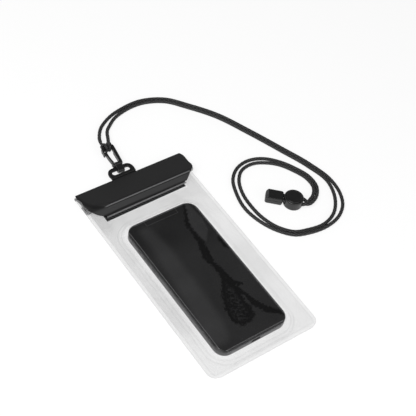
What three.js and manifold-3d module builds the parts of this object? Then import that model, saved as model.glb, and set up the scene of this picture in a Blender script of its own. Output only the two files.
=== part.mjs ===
// Waterproof phone pouch: a clear film bag with a folded and pressed-shut mouth, a black closing flap,
// a lanyard tab, a snap clip, and a neck cord with a sprung cord lock and a cord end. A plain phone lies
// sealed inside. Millimetres, +Z up. The origin is the centre of the pouch's underside on the table,
// and +Y points from the bottom of the pouch to its mouth.
import * as THREE from 'three';
import { mergeVertices } from 'three/addons/utils/BufferGeometryUtils.js';
import Module from 'manifold-3d';

const wasm = await Module();
wasm.setup();

// Pouch film
const POUCH_WIDTH = 112.6;
const POUCH_LENGTH = 213.8;
const FILM = 0.4;
const LAYER_GAP = 0.25;
const BOTTOM_CORNER_RADIUS = 9;

// Phone
const PHONE_WIDTH = 71.5;
const PHONE_LENGTH = 146.7;
const PHONE_THICKNESS = 7.65;
const PHONE_CORNER_RADIUS = 10.5;
const PHONE_X = -3.4;
const PHONE_Y = -20.3;
const SCREEN_THICKNESS = 0.7;
const SCREEN_INSET = 0.6;
const SCREEN_GAP = 0.1;
const BUTTON_PROUD = 0.4;
const BUTTON_WIDTH = 2.6;
const BUTTONS = [
  { y: 48.5, length: 5.5 },
  { y: 36.5, length: 10.5 },
  { y: 23.5, length: 10.5 },
];
const PORT_WIDTH = 9;
const PORT_HEIGHT = 3;
const PORT_DEPTH = 4;

// Front film over the phone: distance outside the phone's outline, and height over the flat margin
const TRAY_LIFT = [
  [0.45, 1.0],
  [1.15, 0.87],
  [2.4, 0.58],
  [4.0, 0.3],
  [5.5, 0.12],
];
const TRAY_FOOT = 8.5;
const TRAY_TOP_INSET = 3;

// Folded mouth of the pouch, under the flap
const FIRST_FOLD_HEIGHT = 2.95;
const SECOND_FOLD_HEIGHT = 7.9;
const SECOND_FOLD_FROM_BACK = 19.7;
const MOUTH_RETURN = 8;
const MOUTH_OPEN = 2.3;
const TRACK_WIDTH = 7;
const TRACK_BASE = 0.4;
const TRACK_RIB_WIDTH = 0.6;
const TRACK_RIB_PITCH = 3.2;
const TRACK_END_MARGIN = 3;
const TRACK_CLEARANCE = 0.15;
const TRACK_FROM_MIDDLE = 0.4;
const STIFFENER_WIDTH = 4;
const STIFFENER_THICKNESS = 0.9;
const STIFFENER_FROM_FOLD = 0.3;

// Closing flap
const FLAP = 1.0;
const FLAP_BACK_HEIGHT = 5.0;
const FLAP_CREASE_HEIGHT = 10.0;
const FLAP_TOP_DEPTH = 24.4;
const FLAP_FRONT_DEPTH = 6.4;
const FLAP_CREASE_RADIUS = 1.6;
const FLAP_CORNER = 1.6;
const FLAP_LOWER_WIDTH = 87.6;

// Hook and loop strips that hold the flap down
const STRIP_LENGTH = 84.5;
const STRIP_WIDTH = 11;
const HOOK_STRIP = 1.3;
const LOOP_STRIP = 1.0;
const HOOK_STRIP_PROUD = 3.4;
const LOOP_STRIP_PROUD = 1.2;
const STRIP_CORNER = 1.2;

// Lanyard tab behind the flap
const TAB_X = -3.8;
const TAB_WIDTH = 26;
const TAB_REACH = 12.2;
const TAB_THICKNESS = 2;
const TAB_ROOT_THICKNESS = 0.7;
const TAB_ROOT_DEPTH = 5.5;
const TAB_RIM = 3.6;
const TAB_SLOT_WIDTH = 18.4;
const TAB_SLOT_DEPTH = 4.6;
const TAB_HEIGHT = 4.9;
const TAB_CORNER = 6.5;
const TAB_TAPER = 1;
const TAB_RAMP_LOW = [0.6, 2.2];
const TAB_RAMP_TOP = [0.4, 1.4];

// Snap clip: hook with its eye round the tab's rim, and the sprung gate
const EYE_FROM_TAB_MIDDLE = 1.0;
const CLIP_ANGLE = -6.5;
const CLIP_THICKNESS = 4.4;
const BAR_RADIUS = 1.5;
const EYE_WIDTH = 6.4;
const EYE_WALL = 1.4;
const EYE_CLEARANCE = 0.85;
const EYE_FLOAT = 0.35;
const EYE_CORNER = 0.6;
const CLIP_LENGTH = 26.4;
const BASE_HEIGHT = 3.2;
const OPENING_HALF_WIDTH = 2.6;
const SPINE_WIDTH = 3.0;
const NOSE_LENGTH = 8.7;
const NOSE_WIDTH = 1.9;
const GATE_THICKNESS = 1.6;
const GATE_OVERLAP = 3.0;
const GATE_CLEARANCE = 0.3;
const GATE_TONGUE = 1.8;
const PIN_RADIUS = 0.7;
const PIN_CLEARANCE = 0.12;
const PIN_FROM_THROAT = 0.6;
const BOSS_WALL = 1.0;

// Cord, its hitch round the clip's bar, the cord lock and the cord end
const CORD_RADIUS = 1.75;
const CORD_SIDES = 8;
const HITCH_RADIUS = 1.5;
const HITCH_STEPS = 44;
const CORD_REST = 0.05;
const CORD_TURN_GAP = 0.3;
const LOCK_X = 117.5;
const LOCK_Y = 9.6;
const LOCK_ANGLE = 138;
const LOCK_RADIUS = 9.25;
const LOCK_HEIGHT = 9.8;
const LOCK_FLOOR = 0.8;
const LOCK_WALL = 1.5;
const LOCK_EDGE = 1.2;
const LOCK_CORD_OFFSET = 3.3;
const CORD_HOLE_CLEARANCE = 0.3;
const BUTTON_CLEARANCE = 0.25;
const BUTTON_TRAVEL = 1.2;
const BUTTON_LIFT = 0.2;
const BUTTON_EDGE = 0.4;
const BUTTON_FLOOR_GAP = 0.3;
const BUTTON_BRIDGE = 0.8;
const BUTTON_SKIN_GAP = 0.2;
const SPRING_RADIUS = 1.0;
const SPRING_WIRE_RADIUS = 0.2;
const SPRING_TURNS = 6;
const SPRING_END_GAP = 0.1;
const SPRING_SIDE_GAP = 0.3;
const SPRING_SEAT = 0.5;
const END_LENGTH = 16.4;
const END_WIDTH = 11.4;
const END_TOP = 8.4;
const END_BOTTOM = 0.3;
const END_SOCKET = 9;
const END_PARTING = 0.1;
const END_CORNER = 2.2;
const END_EDGE = 0.9;
const END_SLANT = 2.6;
const END_SLANT_LOW = 0.6;
const PIECE_GAP = 0.35;

const finishes = {
  film: { color: 0xe6e8ea, roughness: 0.15, metalness: 0, transparent: true, opacity: 0.35 },
  flap: { color: 0x2c2c2e, roughness: 0.6, metalness: 0 },
  strip: { color: 0x3a3a3c, roughness: 0.95, metalness: 0 },
  loop: { color: 0x6a6a6c, roughness: 0.95, metalness: 0 },
  rubber: { color: 0x242426, roughness: 0.5, metalness: 0 },
  plastic: { color: 0x1d1d1f, roughness: 0.35, metalness: 0 },
  cord: { color: 0x1b1b1c, roughness: 0.9, metalness: 0 },
  steel: { color: 0xb8babd, roughness: 0.3, metalness: 1 },
  phone: { color: 0x6c6e72, roughness: 0.35, metalness: 0.8 },
  screen: { color: 0x151618, roughness: 0.08, metalness: 0 },
};

const pouch = new THREE.Group();

function materialOf(finish) {
  return new THREE.MeshStandardMaterial(finishes[finish]);
}

function addMesh(parent, name, geometry, finish) {
  const mesh = new THREE.Mesh(geometry, materialOf(finish));
  mesh.name = name;
  parent.add(mesh);
  return mesh;
}

// A closed geometry with merged corners and its faces pointing out
function closed(geometry) {
  const plain = geometry.clone();
  plain.deleteAttribute('normal');
  plain.deleteAttribute('uv');
  const merged = mergeVertices(plain, 1e-4);
  const p = merged.getAttribute('position');
  const index = Array.from(merged.index.array);
  const corner = (i) => new THREE.Vector3().fromBufferAttribute(p, i);
  const kept = [];
  let volume = 0;
  for (let i = 0; i < index.length; i += 3) {
    const [a, b, c] = [index[i], index[i + 1], index[i + 2]];
    if (a === b || b === c || a === c) continue;
    kept.push(a, b, c);
    volume += corner(a).dot(corner(b).cross(corner(c)));
  }
  if (volume < 0) kept.reverse();
  merged.setIndex(kept);
  return merged;
}

function toSolid(geometry) {
  const g = closed(geometry);
  return new wasm.Manifold(new wasm.Mesh({
    numProp: 3,
    vertProperties: new Float32Array(g.getAttribute('position').array),
    triVerts: new Uint32Array(g.index.array),
  }));
}

function toGeometry(solid) {
  const mesh = solid.getMesh();
  const geometry = new THREE.BufferGeometry();
  geometry.setAttribute('position', new THREE.BufferAttribute(mesh.vertProperties.slice(), 3));
  geometry.setIndex(Array.from(mesh.triVerts));
  geometry.computeVertexNormals();
  return geometry;
}

function join(...geometries) {
  return toGeometry(geometries.map(toSolid).reduce((a, b) => a.add(b)));
}

function cut(geometry, ...tools) {
  return toGeometry(tools.map(toSolid).reduce((a, b) => a.subtract(b), toSolid(geometry)));
}

function common(a, b) {
  return toGeometry(toSolid(a).intersect(toSolid(b)));
}

function box(x0, x1, y0, y1, z0, z1) {
  const g = new THREE.BoxGeometry(x1 - x0, y1 - y0, z1 - z0);
  return g.translate((x0 + x1) / 2, (y0 + y1) / 2, (z0 + z1) / 2);
}

// A flat shape in plan, raised from z0 to z1
function slab(shape, z0, z1, curveSegments = 6) {
  const g = new THREE.ExtrudeGeometry(shape, { depth: z1 - z0, bevelEnabled: false, curveSegments });
  return g.translate(0, 0, z0);
}

// A side view drawn as (y, z) points or a shape, carried along X from x0 to x1
function sweepX(shape, x0, x1, curveSegments = 6) {
  const g = new THREE.ExtrudeGeometry(shape, { depth: x1 - x0, bevelEnabled: false, curveSegments });
  g.applyMatrix4(new THREE.Matrix4().set(0, 0, 1, x0, 1, 0, 0, 0, 0, 1, 0, 0, 0, 0, 0, 1));
  return g;
}

function roundedRectangle(width, height, radius, x = 0, y = 0) {
  const [w, h] = [width / 2, height / 2];
  const s = new THREE.Shape();
  s.moveTo(x - w + radius, y - h);
  s.lineTo(x + w - radius, y - h);
  s.absarc(x + w - radius, y - h + radius, radius, -Math.PI / 2, 0);
  s.lineTo(x + w, y + h - radius);
  s.absarc(x + w - radius, y + h - radius, radius, 0, Math.PI / 2);
  s.lineTo(x - w + radius, y + h);
  s.absarc(x - w + radius, y + h - radius, radius, Math.PI / 2, Math.PI);
  s.lineTo(x - w, y - h + radius);
  s.absarc(x - w + radius, y - h + radius, radius, Math.PI, Math.PI * 1.5);
  return s;
}

// A round rod or hole along X, Y or Z, centred on a point
function rod(axis, radius, length, x, y, z, sides = 16) {
  const g = new THREE.CylinderGeometry(radius, radius, length, sides);
  if (axis === 'x') g.rotateZ(Math.PI / 2);
  if (axis === 'z') g.rotateX(Math.PI / 2);
  return g.translate(x, y, z);
}

function arc(cx, cy, radius, from, to, steps) {
  return Array.from({ length: steps + 1 }, (_, i) => {
    const a = THREE.MathUtils.degToRad(from + ((to - from) * i) / steps);
    return new THREE.Vector2(cx + radius * Math.cos(a), cy + radius * Math.sin(a));
  });
}

// The outline of a thin sheet that follows a line in side view
function ribbon(line, thickness) {
  const half = thickness / 2;
  const side = (sign) => line.map((p, i) => {
    const before = line[Math.max(i - 1, 0)];
    const after = line[Math.min(i + 1, line.length - 1)];
    const t = after.clone().sub(before).normalize();
    return new THREE.Vector2(p.x - sign * half * t.y, p.y + sign * half * t.x);
  });
  return new THREE.Shape([...side(1), ...side(-1).reverse()]);
}

// Places that several pieces share
const BACK = POUCH_LENGTH / 2;
const HALF_WIDTH = POUCH_WIDTH / 2;
const backMid = FILM / 2;
const frontMid = FILM + LAYER_GAP + FILM / 2;
const marginTop = frontMid + FILM / 2;
const phoneBottom = FILM + LAYER_GAP;
const phoneTop = phoneBottom + PHONE_THICKNESS;
const layerPitch = FILM + LAYER_GAP;
const creaseY = BACK - FLAP_TOP_DEPTH;

// The two films are folded over together twice: once up and forward, then down and back
const firstTop = FIRST_FOLD_HEIGHT - FILM / 2;
const firstRadius = (firstTop - backMid) / 2;
const firstY = BACK - FILM / 2 - firstRadius;
const firstZ = backMid + firstRadius;
const secondY = BACK - SECOND_FOLD_FROM_BACK;
const secondTop = SECOND_FOLD_HEIGHT - FILM / 2;
const returnLow = frontMid + layerPitch;
const returnHigh = returnLow + MOUTH_OPEN + FILM;
const returnEnd = secondY + MOUTH_RETURN;

function foldedLine(start, inner) {
  const shift = inner ? layerPitch : 0;
  const low = inner ? frontMid : backMid;
  const turnTop = secondTop - shift;
  const turnLow = inner ? returnHigh : returnLow;
  const turnRadius = (turnTop - turnLow) / 2;
  return [
    new THREE.Vector2(start, low),
    ...arc(firstY, firstZ, firstRadius - shift, -90, 90, 6),
    ...arc(secondY, turnTop - turnRadius, turnRadius, 90, 270, 8),
    new THREE.Vector2(returnEnd, turnLow),
  ];
}

function pouchOutline() {
  const s = new THREE.Shape();
  const r = BOTTOM_CORNER_RADIUS;
  const [w, low, high] = [HALF_WIDTH, -BACK, BACK + POUCH_WIDTH];
  s.moveTo(-w + r, low);
  s.lineTo(w - r, low);
  s.absarc(w - r, low + r, r, -Math.PI / 2, 0);
  s.lineTo(w, high);
  s.lineTo(-w, high);
  s.lineTo(-w, low + r);
  s.absarc(-w + r, low + r, r, Math.PI, Math.PI * 1.5);
  return s;
}

function filmSheet(inner) {
  const sheet = sweepX(ribbon(foldedLine(-BACK, inner), FILM), -HALF_WIDTH, HALF_WIDTH);
  return common(sheet, slab(pouchOutline(), -FILM, FLAP_CREASE_HEIGHT + FLAP));
}

function backFilm() {
  return filmSheet(false);
}

// A raised tray that follows the phone's rounded outline: each turn of a lathe is laid on that outline
function trayOverPhone() {
  const rise = phoneTop + LAYER_GAP - (frontMid - FILM / 2);
  const low = frontMid - FILM / 2;
  const under = TRAY_LIFT.map(([d, share]) => [d, low + share * rise]);
  const line = [[-TRAY_TOP_INSET, low + rise], ...under, [TRAY_FOOT, low]];
  const top = line.map(([d, z], i) => {
    const before = line[Math.max(i - 1, 0)];
    const after = line[Math.min(i + 1, line.length - 1)];
    const t = new THREE.Vector2(after[0] - before[0], after[1] - before[1]).normalize();
    const last = i === line.length - 1 || i === 0;
    return last ? [d, z + FILM] : [d - FILM * t.y, z + FILM * t.x];
  });
  const profile = [[null, low + rise], ...line, ...top.reverse(), [null, low + rise + FILM]];
  const corner = 7;
  const [w, h, r] = [PHONE_WIDTH / 2, PHONE_LENGTH / 2, PHONE_CORNER_RADIUS];
  const outline = [];
  [[1, 1, 0], [-1, 1, 90], [-1, -1, 180], [1, -1, 270]].forEach(([sx, sy, from]) => {
    for (let i = 0; i < corner; i += 1) {
      const a = THREE.MathUtils.degToRad(from + (90 * i) / (corner - 1));
      outline.push([sx * (w - r), sy * (h - r), Math.cos(a), Math.sin(a)]);
    }
  });
  const turns = outline.length;
  const lathe = new THREE.LatheGeometry(
    profile.map(([d, z]) => new THREE.Vector2(d === null ? 0 : PHONE_WIDTH + d, z)), turns);
  const p = lathe.getAttribute('position');
  for (let i = 0; i <= turns; i += 1) {
    const [cx, cy, nx, ny] = outline[i % turns];
    profile.forEach(([d, z], j) => {
      const reach = d === null ? 0 : r + d;
      const [x, y] = d === null ? [0, 0] : [cx + nx * reach, cy + ny * reach];
      p.setXYZ(i * profile.length + j, PHONE_X + x, PHONE_Y + y, z);
    });
  }
  return lathe;
}

function frontFilm() {
  const overlap = 0.2;
  const footX = PHONE_WIDTH + 2 * (TRAY_FOOT - overlap);
  const footY = PHONE_LENGTH + 2 * (TRAY_FOOT - overlap);
  const footRadius = PHONE_CORNER_RADIUS + TRAY_FOOT - overlap;
  const foot = roundedRectangle(footX, footY, footRadius, PHONE_X, PHONE_Y);
  const window = slab(foot, 0, marginTop + FILM, 12);
  return join(cut(filmSheet(true), window), trayOverPhone());
}

addMesh(pouch, 'back_film', backFilm(), 'film');
addMesh(pouch, 'front_film', frontFilm(), 'film');

// Press-to-close tracks between the two films at the mouth: ribs on one, channels on the other
function track(male) {
  const from = (secondY + returnEnd - TRACK_WIDTH) / 2 + TRACK_FROM_MIDDLE;
  const low = returnLow + FILM / 2 + TRACK_CLEARANCE;
  const high = returnHigh - FILM / 2 - TRACK_CLEARANCE;
  const length = HALF_WIDTH - TRACK_END_MARGIN;
  const baseLow = male ? high - TRACK_BASE : low;
  const base = box(-length, length, from, from + TRACK_WIDTH, baseLow, baseLow + TRACK_BASE);
  const centre = from + TRACK_WIDTH / 2;
  const ribs = [-0.5, 0.5].flatMap((k) => {
    const y = centre + k * TRACK_RIB_PITCH;
    const half = TRACK_RIB_WIDTH / 2;
    const reach = TRACK_CLEARANCE + TRACK_BASE;
    if (male) return [box(-length, length, y - half, y + half, low + reach, high)];
    return [-1, 1].map((side) => {
      const near = y + side * (half + TRACK_CLEARANCE);
      const far = near + side * TRACK_RIB_WIDTH;
      return box(-length, length, Math.min(near, far), Math.max(near, far), low, high - reach);
    });
  });
  return join(base, ...ribs);
}

addMesh(pouch, 'mouth_track_ribs', track(true), 'film');
addMesh(pouch, 'mouth_track_channels', track(false), 'film');

const stiffenerLow = returnHigh + FILM / 2 + LAYER_GAP;
const stiffenerFrom = secondY + STIFFENER_FROM_FOLD;
addMesh(pouch, 'mouth_stiffener', box(
  -HALF_WIDTH, HALF_WIDTH, stiffenerFrom, stiffenerFrom + STIFFENER_WIDTH,
  stiffenerLow, stiffenerLow + STIFFENER_THICKNESS), 'rubber');

// The flap's middle surface: a rising top panel, a rounded crease and a steep front panel
const flapRise = (FLAP_CREASE_HEIGHT - FLAP_BACK_HEIGHT) / FLAP_TOP_DEPTH;
const hookTop = marginTop + LAYER_GAP + HOOK_STRIP;
const loopTop = hookTop + LAYER_GAP + LOOP_STRIP;
const flapLowY = creaseY - FLAP_FRONT_DEPTH;
const flapLowZ = loopTop + LAYER_GAP + FLAP / 2;

function closureFlap() {
  const mid = FLAP / 2;
  const r = FLAP_CREASE_RADIUS;
  const crease = new THREE.Vector2(creaseY, FLAP_CREASE_HEIGHT - mid);
  const back = new THREE.Vector2(BACK, FLAP_BACK_HEIGHT - mid);
  const low = new THREE.Vector2(flapLowY, flapLowZ);
  const toBack = back.clone().sub(crease).normalize().multiplyScalar(r).add(crease);
  const toLow = low.clone().sub(crease).normalize().multiplyScalar(r).add(crease);
  const bend = new THREE.QuadraticBezierCurve(toBack, crease, toLow).getPoints(4);
  const line = [back, ...bend, low];
  const sheet = sweepX(ribbon(line, FLAP), -HALF_WIDTH, HALF_WIDTH);
  const plan = new THREE.Shape();
  const [w, l, c] = [HALF_WIDTH, FLAP_LOWER_WIDTH / 2, FLAP_CORNER];
  plan.moveTo(-w, BACK + FLAP);
  plan.lineTo(-w, creaseY + c);
  plan.quadraticCurveTo(-w, creaseY, -w + c, creaseY - 0.6 * c);
  plan.lineTo(-l, flapLowY - FLAP);
  plan.lineTo(l, flapLowY - FLAP);
  plan.lineTo(w - c, creaseY - 0.6 * c);
  plan.quadraticCurveTo(w, creaseY, w, creaseY + c);
  plan.lineTo(w, BACK + FLAP);
  return common(sheet, slab(plan, 0, FLAP_CREASE_HEIGHT + FLAP));
}

addMesh(pouch, 'closure_flap', closureFlap(), 'flap');

// The hook strip is fixed to the front film and the loop strip to the flap's lower edge
const hookFront = flapLowY - HOOK_STRIP_PROUD;
const loopFront = flapLowY - LOOP_STRIP_PROUD;
const stripBack = hookFront + STRIP_WIDTH;
addMesh(pouch, 'hook_strip', slab(
  roundedRectangle(STRIP_LENGTH, STRIP_WIDTH, STRIP_CORNER, 0, (hookFront + stripBack) / 2),
  marginTop + LAYER_GAP, hookTop), 'strip');
addMesh(pouch, 'loop_strip', slab(
  roundedRectangle(STRIP_LENGTH, stripBack - loopFront, STRIP_CORNER, 0, (loopFront + stripBack) / 2),
  hookTop + LAYER_GAP, loopTop), 'loop');

// Phone: metal body with side buttons and a charging port, and a flat screen
function phoneBody() {
  const top = phoneTop - SCREEN_THICKNESS - SCREEN_GAP;
  const outline = roundedRectangle(PHONE_WIDTH, PHONE_LENGTH, PHONE_CORNER_RADIUS, PHONE_X, PHONE_Y);
  const body = slab(outline, phoneBottom, top, 8);
  const middle = (phoneBottom + phoneTop) / 2;
  const left = PHONE_X - PHONE_WIDTH / 2;
  const keys = BUTTONS.map(({ y, length }) => {
    const face = roundedRectangle(length, BUTTON_WIDTH, BUTTON_WIDTH / 2, PHONE_Y + y, middle);
    return sweepX(face, left - BUTTON_PROUD, left + 1, 3);
  });
  const portFace = roundedRectangle(PORT_WIDTH, PORT_HEIGHT, PORT_HEIGHT / 2, 0, 0);
  const port = new THREE.ExtrudeGeometry(portFace, {
    depth: 2 * PORT_DEPTH, bevelEnabled: false, curveSegments: 3 });
  port.rotateX(Math.PI / 2).translate(PHONE_X, PHONE_Y - PHONE_LENGTH / 2 + PORT_DEPTH, middle);
  return cut(join(body, ...keys), port);
}

addMesh(pouch, 'phone_body', phoneBody(), 'phone');
const screenOutline = roundedRectangle(
  PHONE_WIDTH - 2 * SCREEN_INSET, PHONE_LENGTH - 2 * SCREEN_INSET,
  PHONE_CORNER_RADIUS - SCREEN_INSET, PHONE_X, PHONE_Y);
addMesh(pouch, 'phone_screen', slab(screenOutline, phoneTop - SCREEN_THICKNESS, phoneTop, 8), 'screen');

// Lanyard tab: a thin root between film and flap, and a thick slotted end behind the fold
function lanyardTab() {
  const half = TAB_THICKNESS / 2;
  const root = TAB_ROOT_THICKNESS / 2;
  const between = (y) => {
    const film = firstTop + FILM / 2 + ((secondTop - firstTop) * (firstY - y)) / (firstY - secondY);
    const flap = FLAP_BACK_HEIGHT - FLAP + flapRise * (BACK - y);
    return (Math.max(film, firstTop + FILM / 2) + flap) / 2;
  };
  const inner = BACK - TAB_ROOT_DEPTH;
  const side = new THREE.Shape([
    new THREE.Vector2(inner, between(inner) - root),
    new THREE.Vector2(firstY, between(firstY) - root),
    new THREE.Vector2(BACK + TAB_RAMP_LOW[0], between(BACK) - root),
    new THREE.Vector2(BACK + TAB_RAMP_LOW[1], TAB_HEIGHT - half),
    new THREE.Vector2(BACK + TAB_REACH + 1, TAB_HEIGHT - half),
    new THREE.Vector2(BACK + TAB_REACH + 1, TAB_HEIGHT + half),
    new THREE.Vector2(BACK + TAB_RAMP_TOP[1], TAB_HEIGHT + half),
    new THREE.Vector2(BACK + TAB_RAMP_TOP[0], between(BACK) + root),
    new THREE.Vector2(firstY, between(firstY) + root),
    new THREE.Vector2(inner, between(inner) + root),
  ]);
  const outer = BACK + TAB_REACH;
  const plan = new THREE.Shape();
  const [w, r] = [TAB_WIDTH / 2, TAB_CORNER];
  plan.moveTo(TAB_X - w + TAB_TAPER, inner - 1);
  plan.lineTo(TAB_X + w - TAB_TAPER, inner - 1);
  plan.lineTo(TAB_X + w, outer - r);
  plan.quadraticCurveTo(TAB_X + w - 0.5, outer, TAB_X + w - r, outer);
  plan.lineTo(TAB_X - w + r, outer);
  plan.quadraticCurveTo(TAB_X - w + 0.5, outer, TAB_X - w, outer - r);
  plan.closePath();
  const slotY = outer - TAB_RIM - TAB_SLOT_DEPTH / 2;
  plan.holes.push(roundedRectangle(
    TAB_SLOT_WIDTH, TAB_SLOT_DEPTH, TAB_SLOT_DEPTH / 2 - 0.1, TAB_X, slotY));
  return common(
    sweepX(side, TAB_X - TAB_WIDTH, TAB_X + TAB_WIDTH),
    slab(plan, 0, TAB_HEIGHT + TAB_THICKNESS, 5));
}

addMesh(pouch, 'lanyard_tab', lanyardTab(), 'rubber');

// Snap clip, drawn flat with X across it and Y along it, its end bar on the X axis
const clip = new THREE.Group();
const clipTurn = THREE.MathUtils.degToRad(CLIP_ANGLE);
clip.position.set(
  TAB_X + EYE_FROM_TAB_MIDDLE - CLIP_LENGTH * Math.sin(clipTurn),
  BACK + TAB_REACH - TAB_RIM / 2 + CLIP_LENGTH * Math.cos(clipTurn), TAB_HEIGHT);
clip.rotation.z = clipTurn;
pouch.add(clip);

const eyeInner = TAB_RIM / 2 + EYE_CLEARANCE;
const baseLow = -CLIP_LENGTH + eyeInner;
const baseTop = baseLow + BASE_HEIGHT;
const hitchHalf = 2 * HITCH_RADIUS + CORD_TURN_GAP / 2 + GATE_CLEARANCE;
const spineOuterTop = hitchHalf + SPINE_WIDTH - 0.45;
const spineOuterLow = OPENING_HALF_WIDTH + SPINE_WIDTH - 0.4;
const pivotX = -OPENING_HALF_WIDTH - GATE_THICKNESS / 2 + 0.1;
const pivotY = baseTop - PIN_RADIUS - PIN_FROM_THROAT;
const gateX = -OPENING_HALF_WIDTH - GATE_THICKNESS;
const noseInner = gateX - GATE_THICKNESS / 2 - 0.25;
const halfClip = CLIP_THICKNESS / 2;

function pinHole() {
  return rod('z', PIN_RADIUS + PIN_CLEARANCE, 2 * CLIP_THICKNESS, pivotX, pivotY, 0, 12);
}

function clipHook() {
  const s = new THREE.Shape();
  const top = BAR_RADIUS - 0.1;
  s.moveTo(-EYE_WIDTH / 2 - 0.9, baseLow - 0.5);
  s.lineTo(EYE_WIDTH / 2 + 0.3, baseLow - 0.5);
  s.quadraticCurveTo(spineOuterLow - 0.3, baseLow, spineOuterLow, baseTop);
  s.lineTo(spineOuterTop, -2);
  s.quadraticCurveTo(spineOuterTop + 0.1, top, hitchHalf, top);
  s.lineTo(-hitchHalf, top);
  s.quadraticCurveTo(-hitchHalf - 1.6, top, -hitchHalf - NOSE_WIDTH, -1.4);
  s.lineTo(noseInner - NOSE_WIDTH, -NOSE_LENGTH);
  s.lineTo(noseInner - GATE_CLEARANCE, -NOSE_LENGTH);
  s.lineTo(noseInner - GATE_CLEARANCE, -NOSE_LENGTH + GATE_OVERLAP + 1.2);
  s.lineTo(-hitchHalf, -BAR_RADIUS);
  s.lineTo(hitchHalf, -BAR_RADIUS);
  s.lineTo(hitchHalf, -4.5);
  s.quadraticCurveTo(hitchHalf, -6, OPENING_HALF_WIDTH, -7.5);
  s.lineTo(OPENING_HALF_WIDTH, baseTop + 2.7);
  s.quadraticCurveTo(OPENING_HALF_WIDTH, baseTop, 0, baseTop);
  s.lineTo(pivotX - GATE_THICKNESS - 0.2, baseTop);
  const plate = slab(s, -halfClip, halfClip, 5);
  const barSpace = box(
    -hitchHalf, hitchHalf, -BAR_RADIUS - 1, BAR_RADIUS + 1, -halfClip - 1, halfClip + 1);
  const bar = rod('x', BAR_RADIUS, 2 * hitchHalf + 1.2, 0, 0, 0);
  const eyeHigh = 2 * (TAB_THICKNESS / 2 + EYE_FLOAT);
  const eyeLong = 2 * eyeInner;
  const eyeOutline = (wall, width) => sweepX(
    roundedRectangle(eyeLong + 2 * wall, eyeHigh + 2 * wall, EYE_CORNER + wall, -CLIP_LENGTH, 0),
    -width / 2, width / 2, 4);
  const ring = eyeOutline(EYE_WALL, EYE_WIDTH);
  const eyeHole = eyeOutline(0, 3 * EYE_WIDTH);
  const gapHalf = GATE_TONGUE / 2 + CORD_TURN_GAP / 2;
  const bossSpace = PIN_RADIUS + BOSS_WALL + GATE_CLEARANCE;
  const hinge = rod('z', bossSpace, 2 * gapHalf, pivotX, pivotY, 0, 20);
  const slot = box(pivotX - 4, pivotX + bossSpace, pivotY, baseTop + 1, -gapHalf, gapHalf);
  return cut(join(cut(plate, barSpace), bar, ring), eyeHole, hinge, slot, pinHole());
}

function clipGate() {
  const tip = -NOSE_LENGTH + GATE_OVERLAP;
  const foot = baseTop + 0.7;
  const half = GATE_THICKNESS / 2;
  const bow = new THREE.QuadraticBezierCurve(
    new THREE.Vector2(pivotX, foot), new THREE.Vector2(gateX - 0.6, (tip + foot) / 2),
    new THREE.Vector2(gateX, tip)).getPoints(8);
  const arm = slab(ribbon(bow, GATE_THICKNESS), -halfClip + 0.2, halfClip - 0.2);
  const boss = rod('z', PIN_RADIUS + BOSS_WALL, GATE_TONGUE, pivotX, pivotY, 0);
  const tongue = box(pivotX - half, pivotX + half, pivotY, foot + 0.6, -GATE_TONGUE / 2, GATE_TONGUE / 2);
  return cut(join(arm, boss, tongue), pinHole());
}

addMesh(clip, 'clip_hook', clipHook(), 'plastic');
addMesh(clip, 'clip_gate', clipGate(), 'plastic');
addMesh(clip, 'clip_gate_pin', rod('z', PIN_RADIUS, CLIP_THICKNESS, pivotX, pivotY, 0, 12), 'steel');

// A cord's route is stepped at its own points, so that steps lie closer where the points do
class SteppedRoute extends THREE.CatmullRomCurve3 {
  getPointAt(u, target) {
    return this.getPoint(u, target);
  }

  getTangentAt(u, target) {
    return this.getTangent(u, target);
  }
}

function tube(points, radius, steps) {
  const path = new SteppedRoute(points);
  const section = new THREE.Shape(arc(0, 0, radius, 0, 360 - 360 / CORD_SIDES, CORD_SIDES - 1));
  return new THREE.ExtrudeGeometry(section, { extrudePath: path, steps, bevelEnabled: false });
}

// Hitch round the clip's bar, right half, in the clip's frame: from the leg over the closing bight,
// under the bar, up through the hook, over the bar and down outside the leg to the bight
const wrap = BAR_RADIUS + CORD_TURN_GAP + HITCH_RADIUS;
const leg = HITCH_RADIUS + CORD_TURN_GAP / 2;
const HITCH_RIGHT = [
  [leg + 0.4, 6.9, -0.05],
  [leg, 5.0, -0.7],
  [leg, 2.3, -2.6],
  [leg, -0.3, -wrap],
  [leg, -2.45, -2.3],
  [leg, -wrap, 0],
  [leg, -2.35, 2.35],
  [leg, 0, wrap],
  [leg + 0.1, 2.0, 3.0],
  [3.3, 3.4, 2.3],
  [4.75, 4.3, 0.8],
  [4.9, 5.3, -1.0],
  [3.8, 6.5, -2.8],
];
const HITCH_RIGHT_END = [3.15, 8.6, 0];
const HITCH_LEFT_END = [-2.0, 10.1, 0];
const BIGHT_REACH = 7.3;
const hitchPoints = [
  HITCH_RIGHT_END,
  ...HITCH_RIGHT,
  [0, BIGHT_REACH, -TAB_HEIGHT + HITCH_RADIUS + CORD_REST],
  ...HITCH_RIGHT.map(([x, y, z]) => [-x, y, z]).reverse(),
  HITCH_LEFT_END,
].map(([x, y, z]) => new THREE.Vector3(x, y, z));
addMesh(clip, 'cord_hitch', tube(hitchPoints, HITCH_RADIUS, HITCH_STEPS), 'cord');

// Cord lock, drawn with X along the cord towards the cord end
const lock = new THREE.Group();
lock.position.set(LOCK_X, LOCK_Y, 0);
lock.rotation.z = THREE.MathUtils.degToRad(LOCK_ANGLE);
pouch.add(lock);

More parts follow.
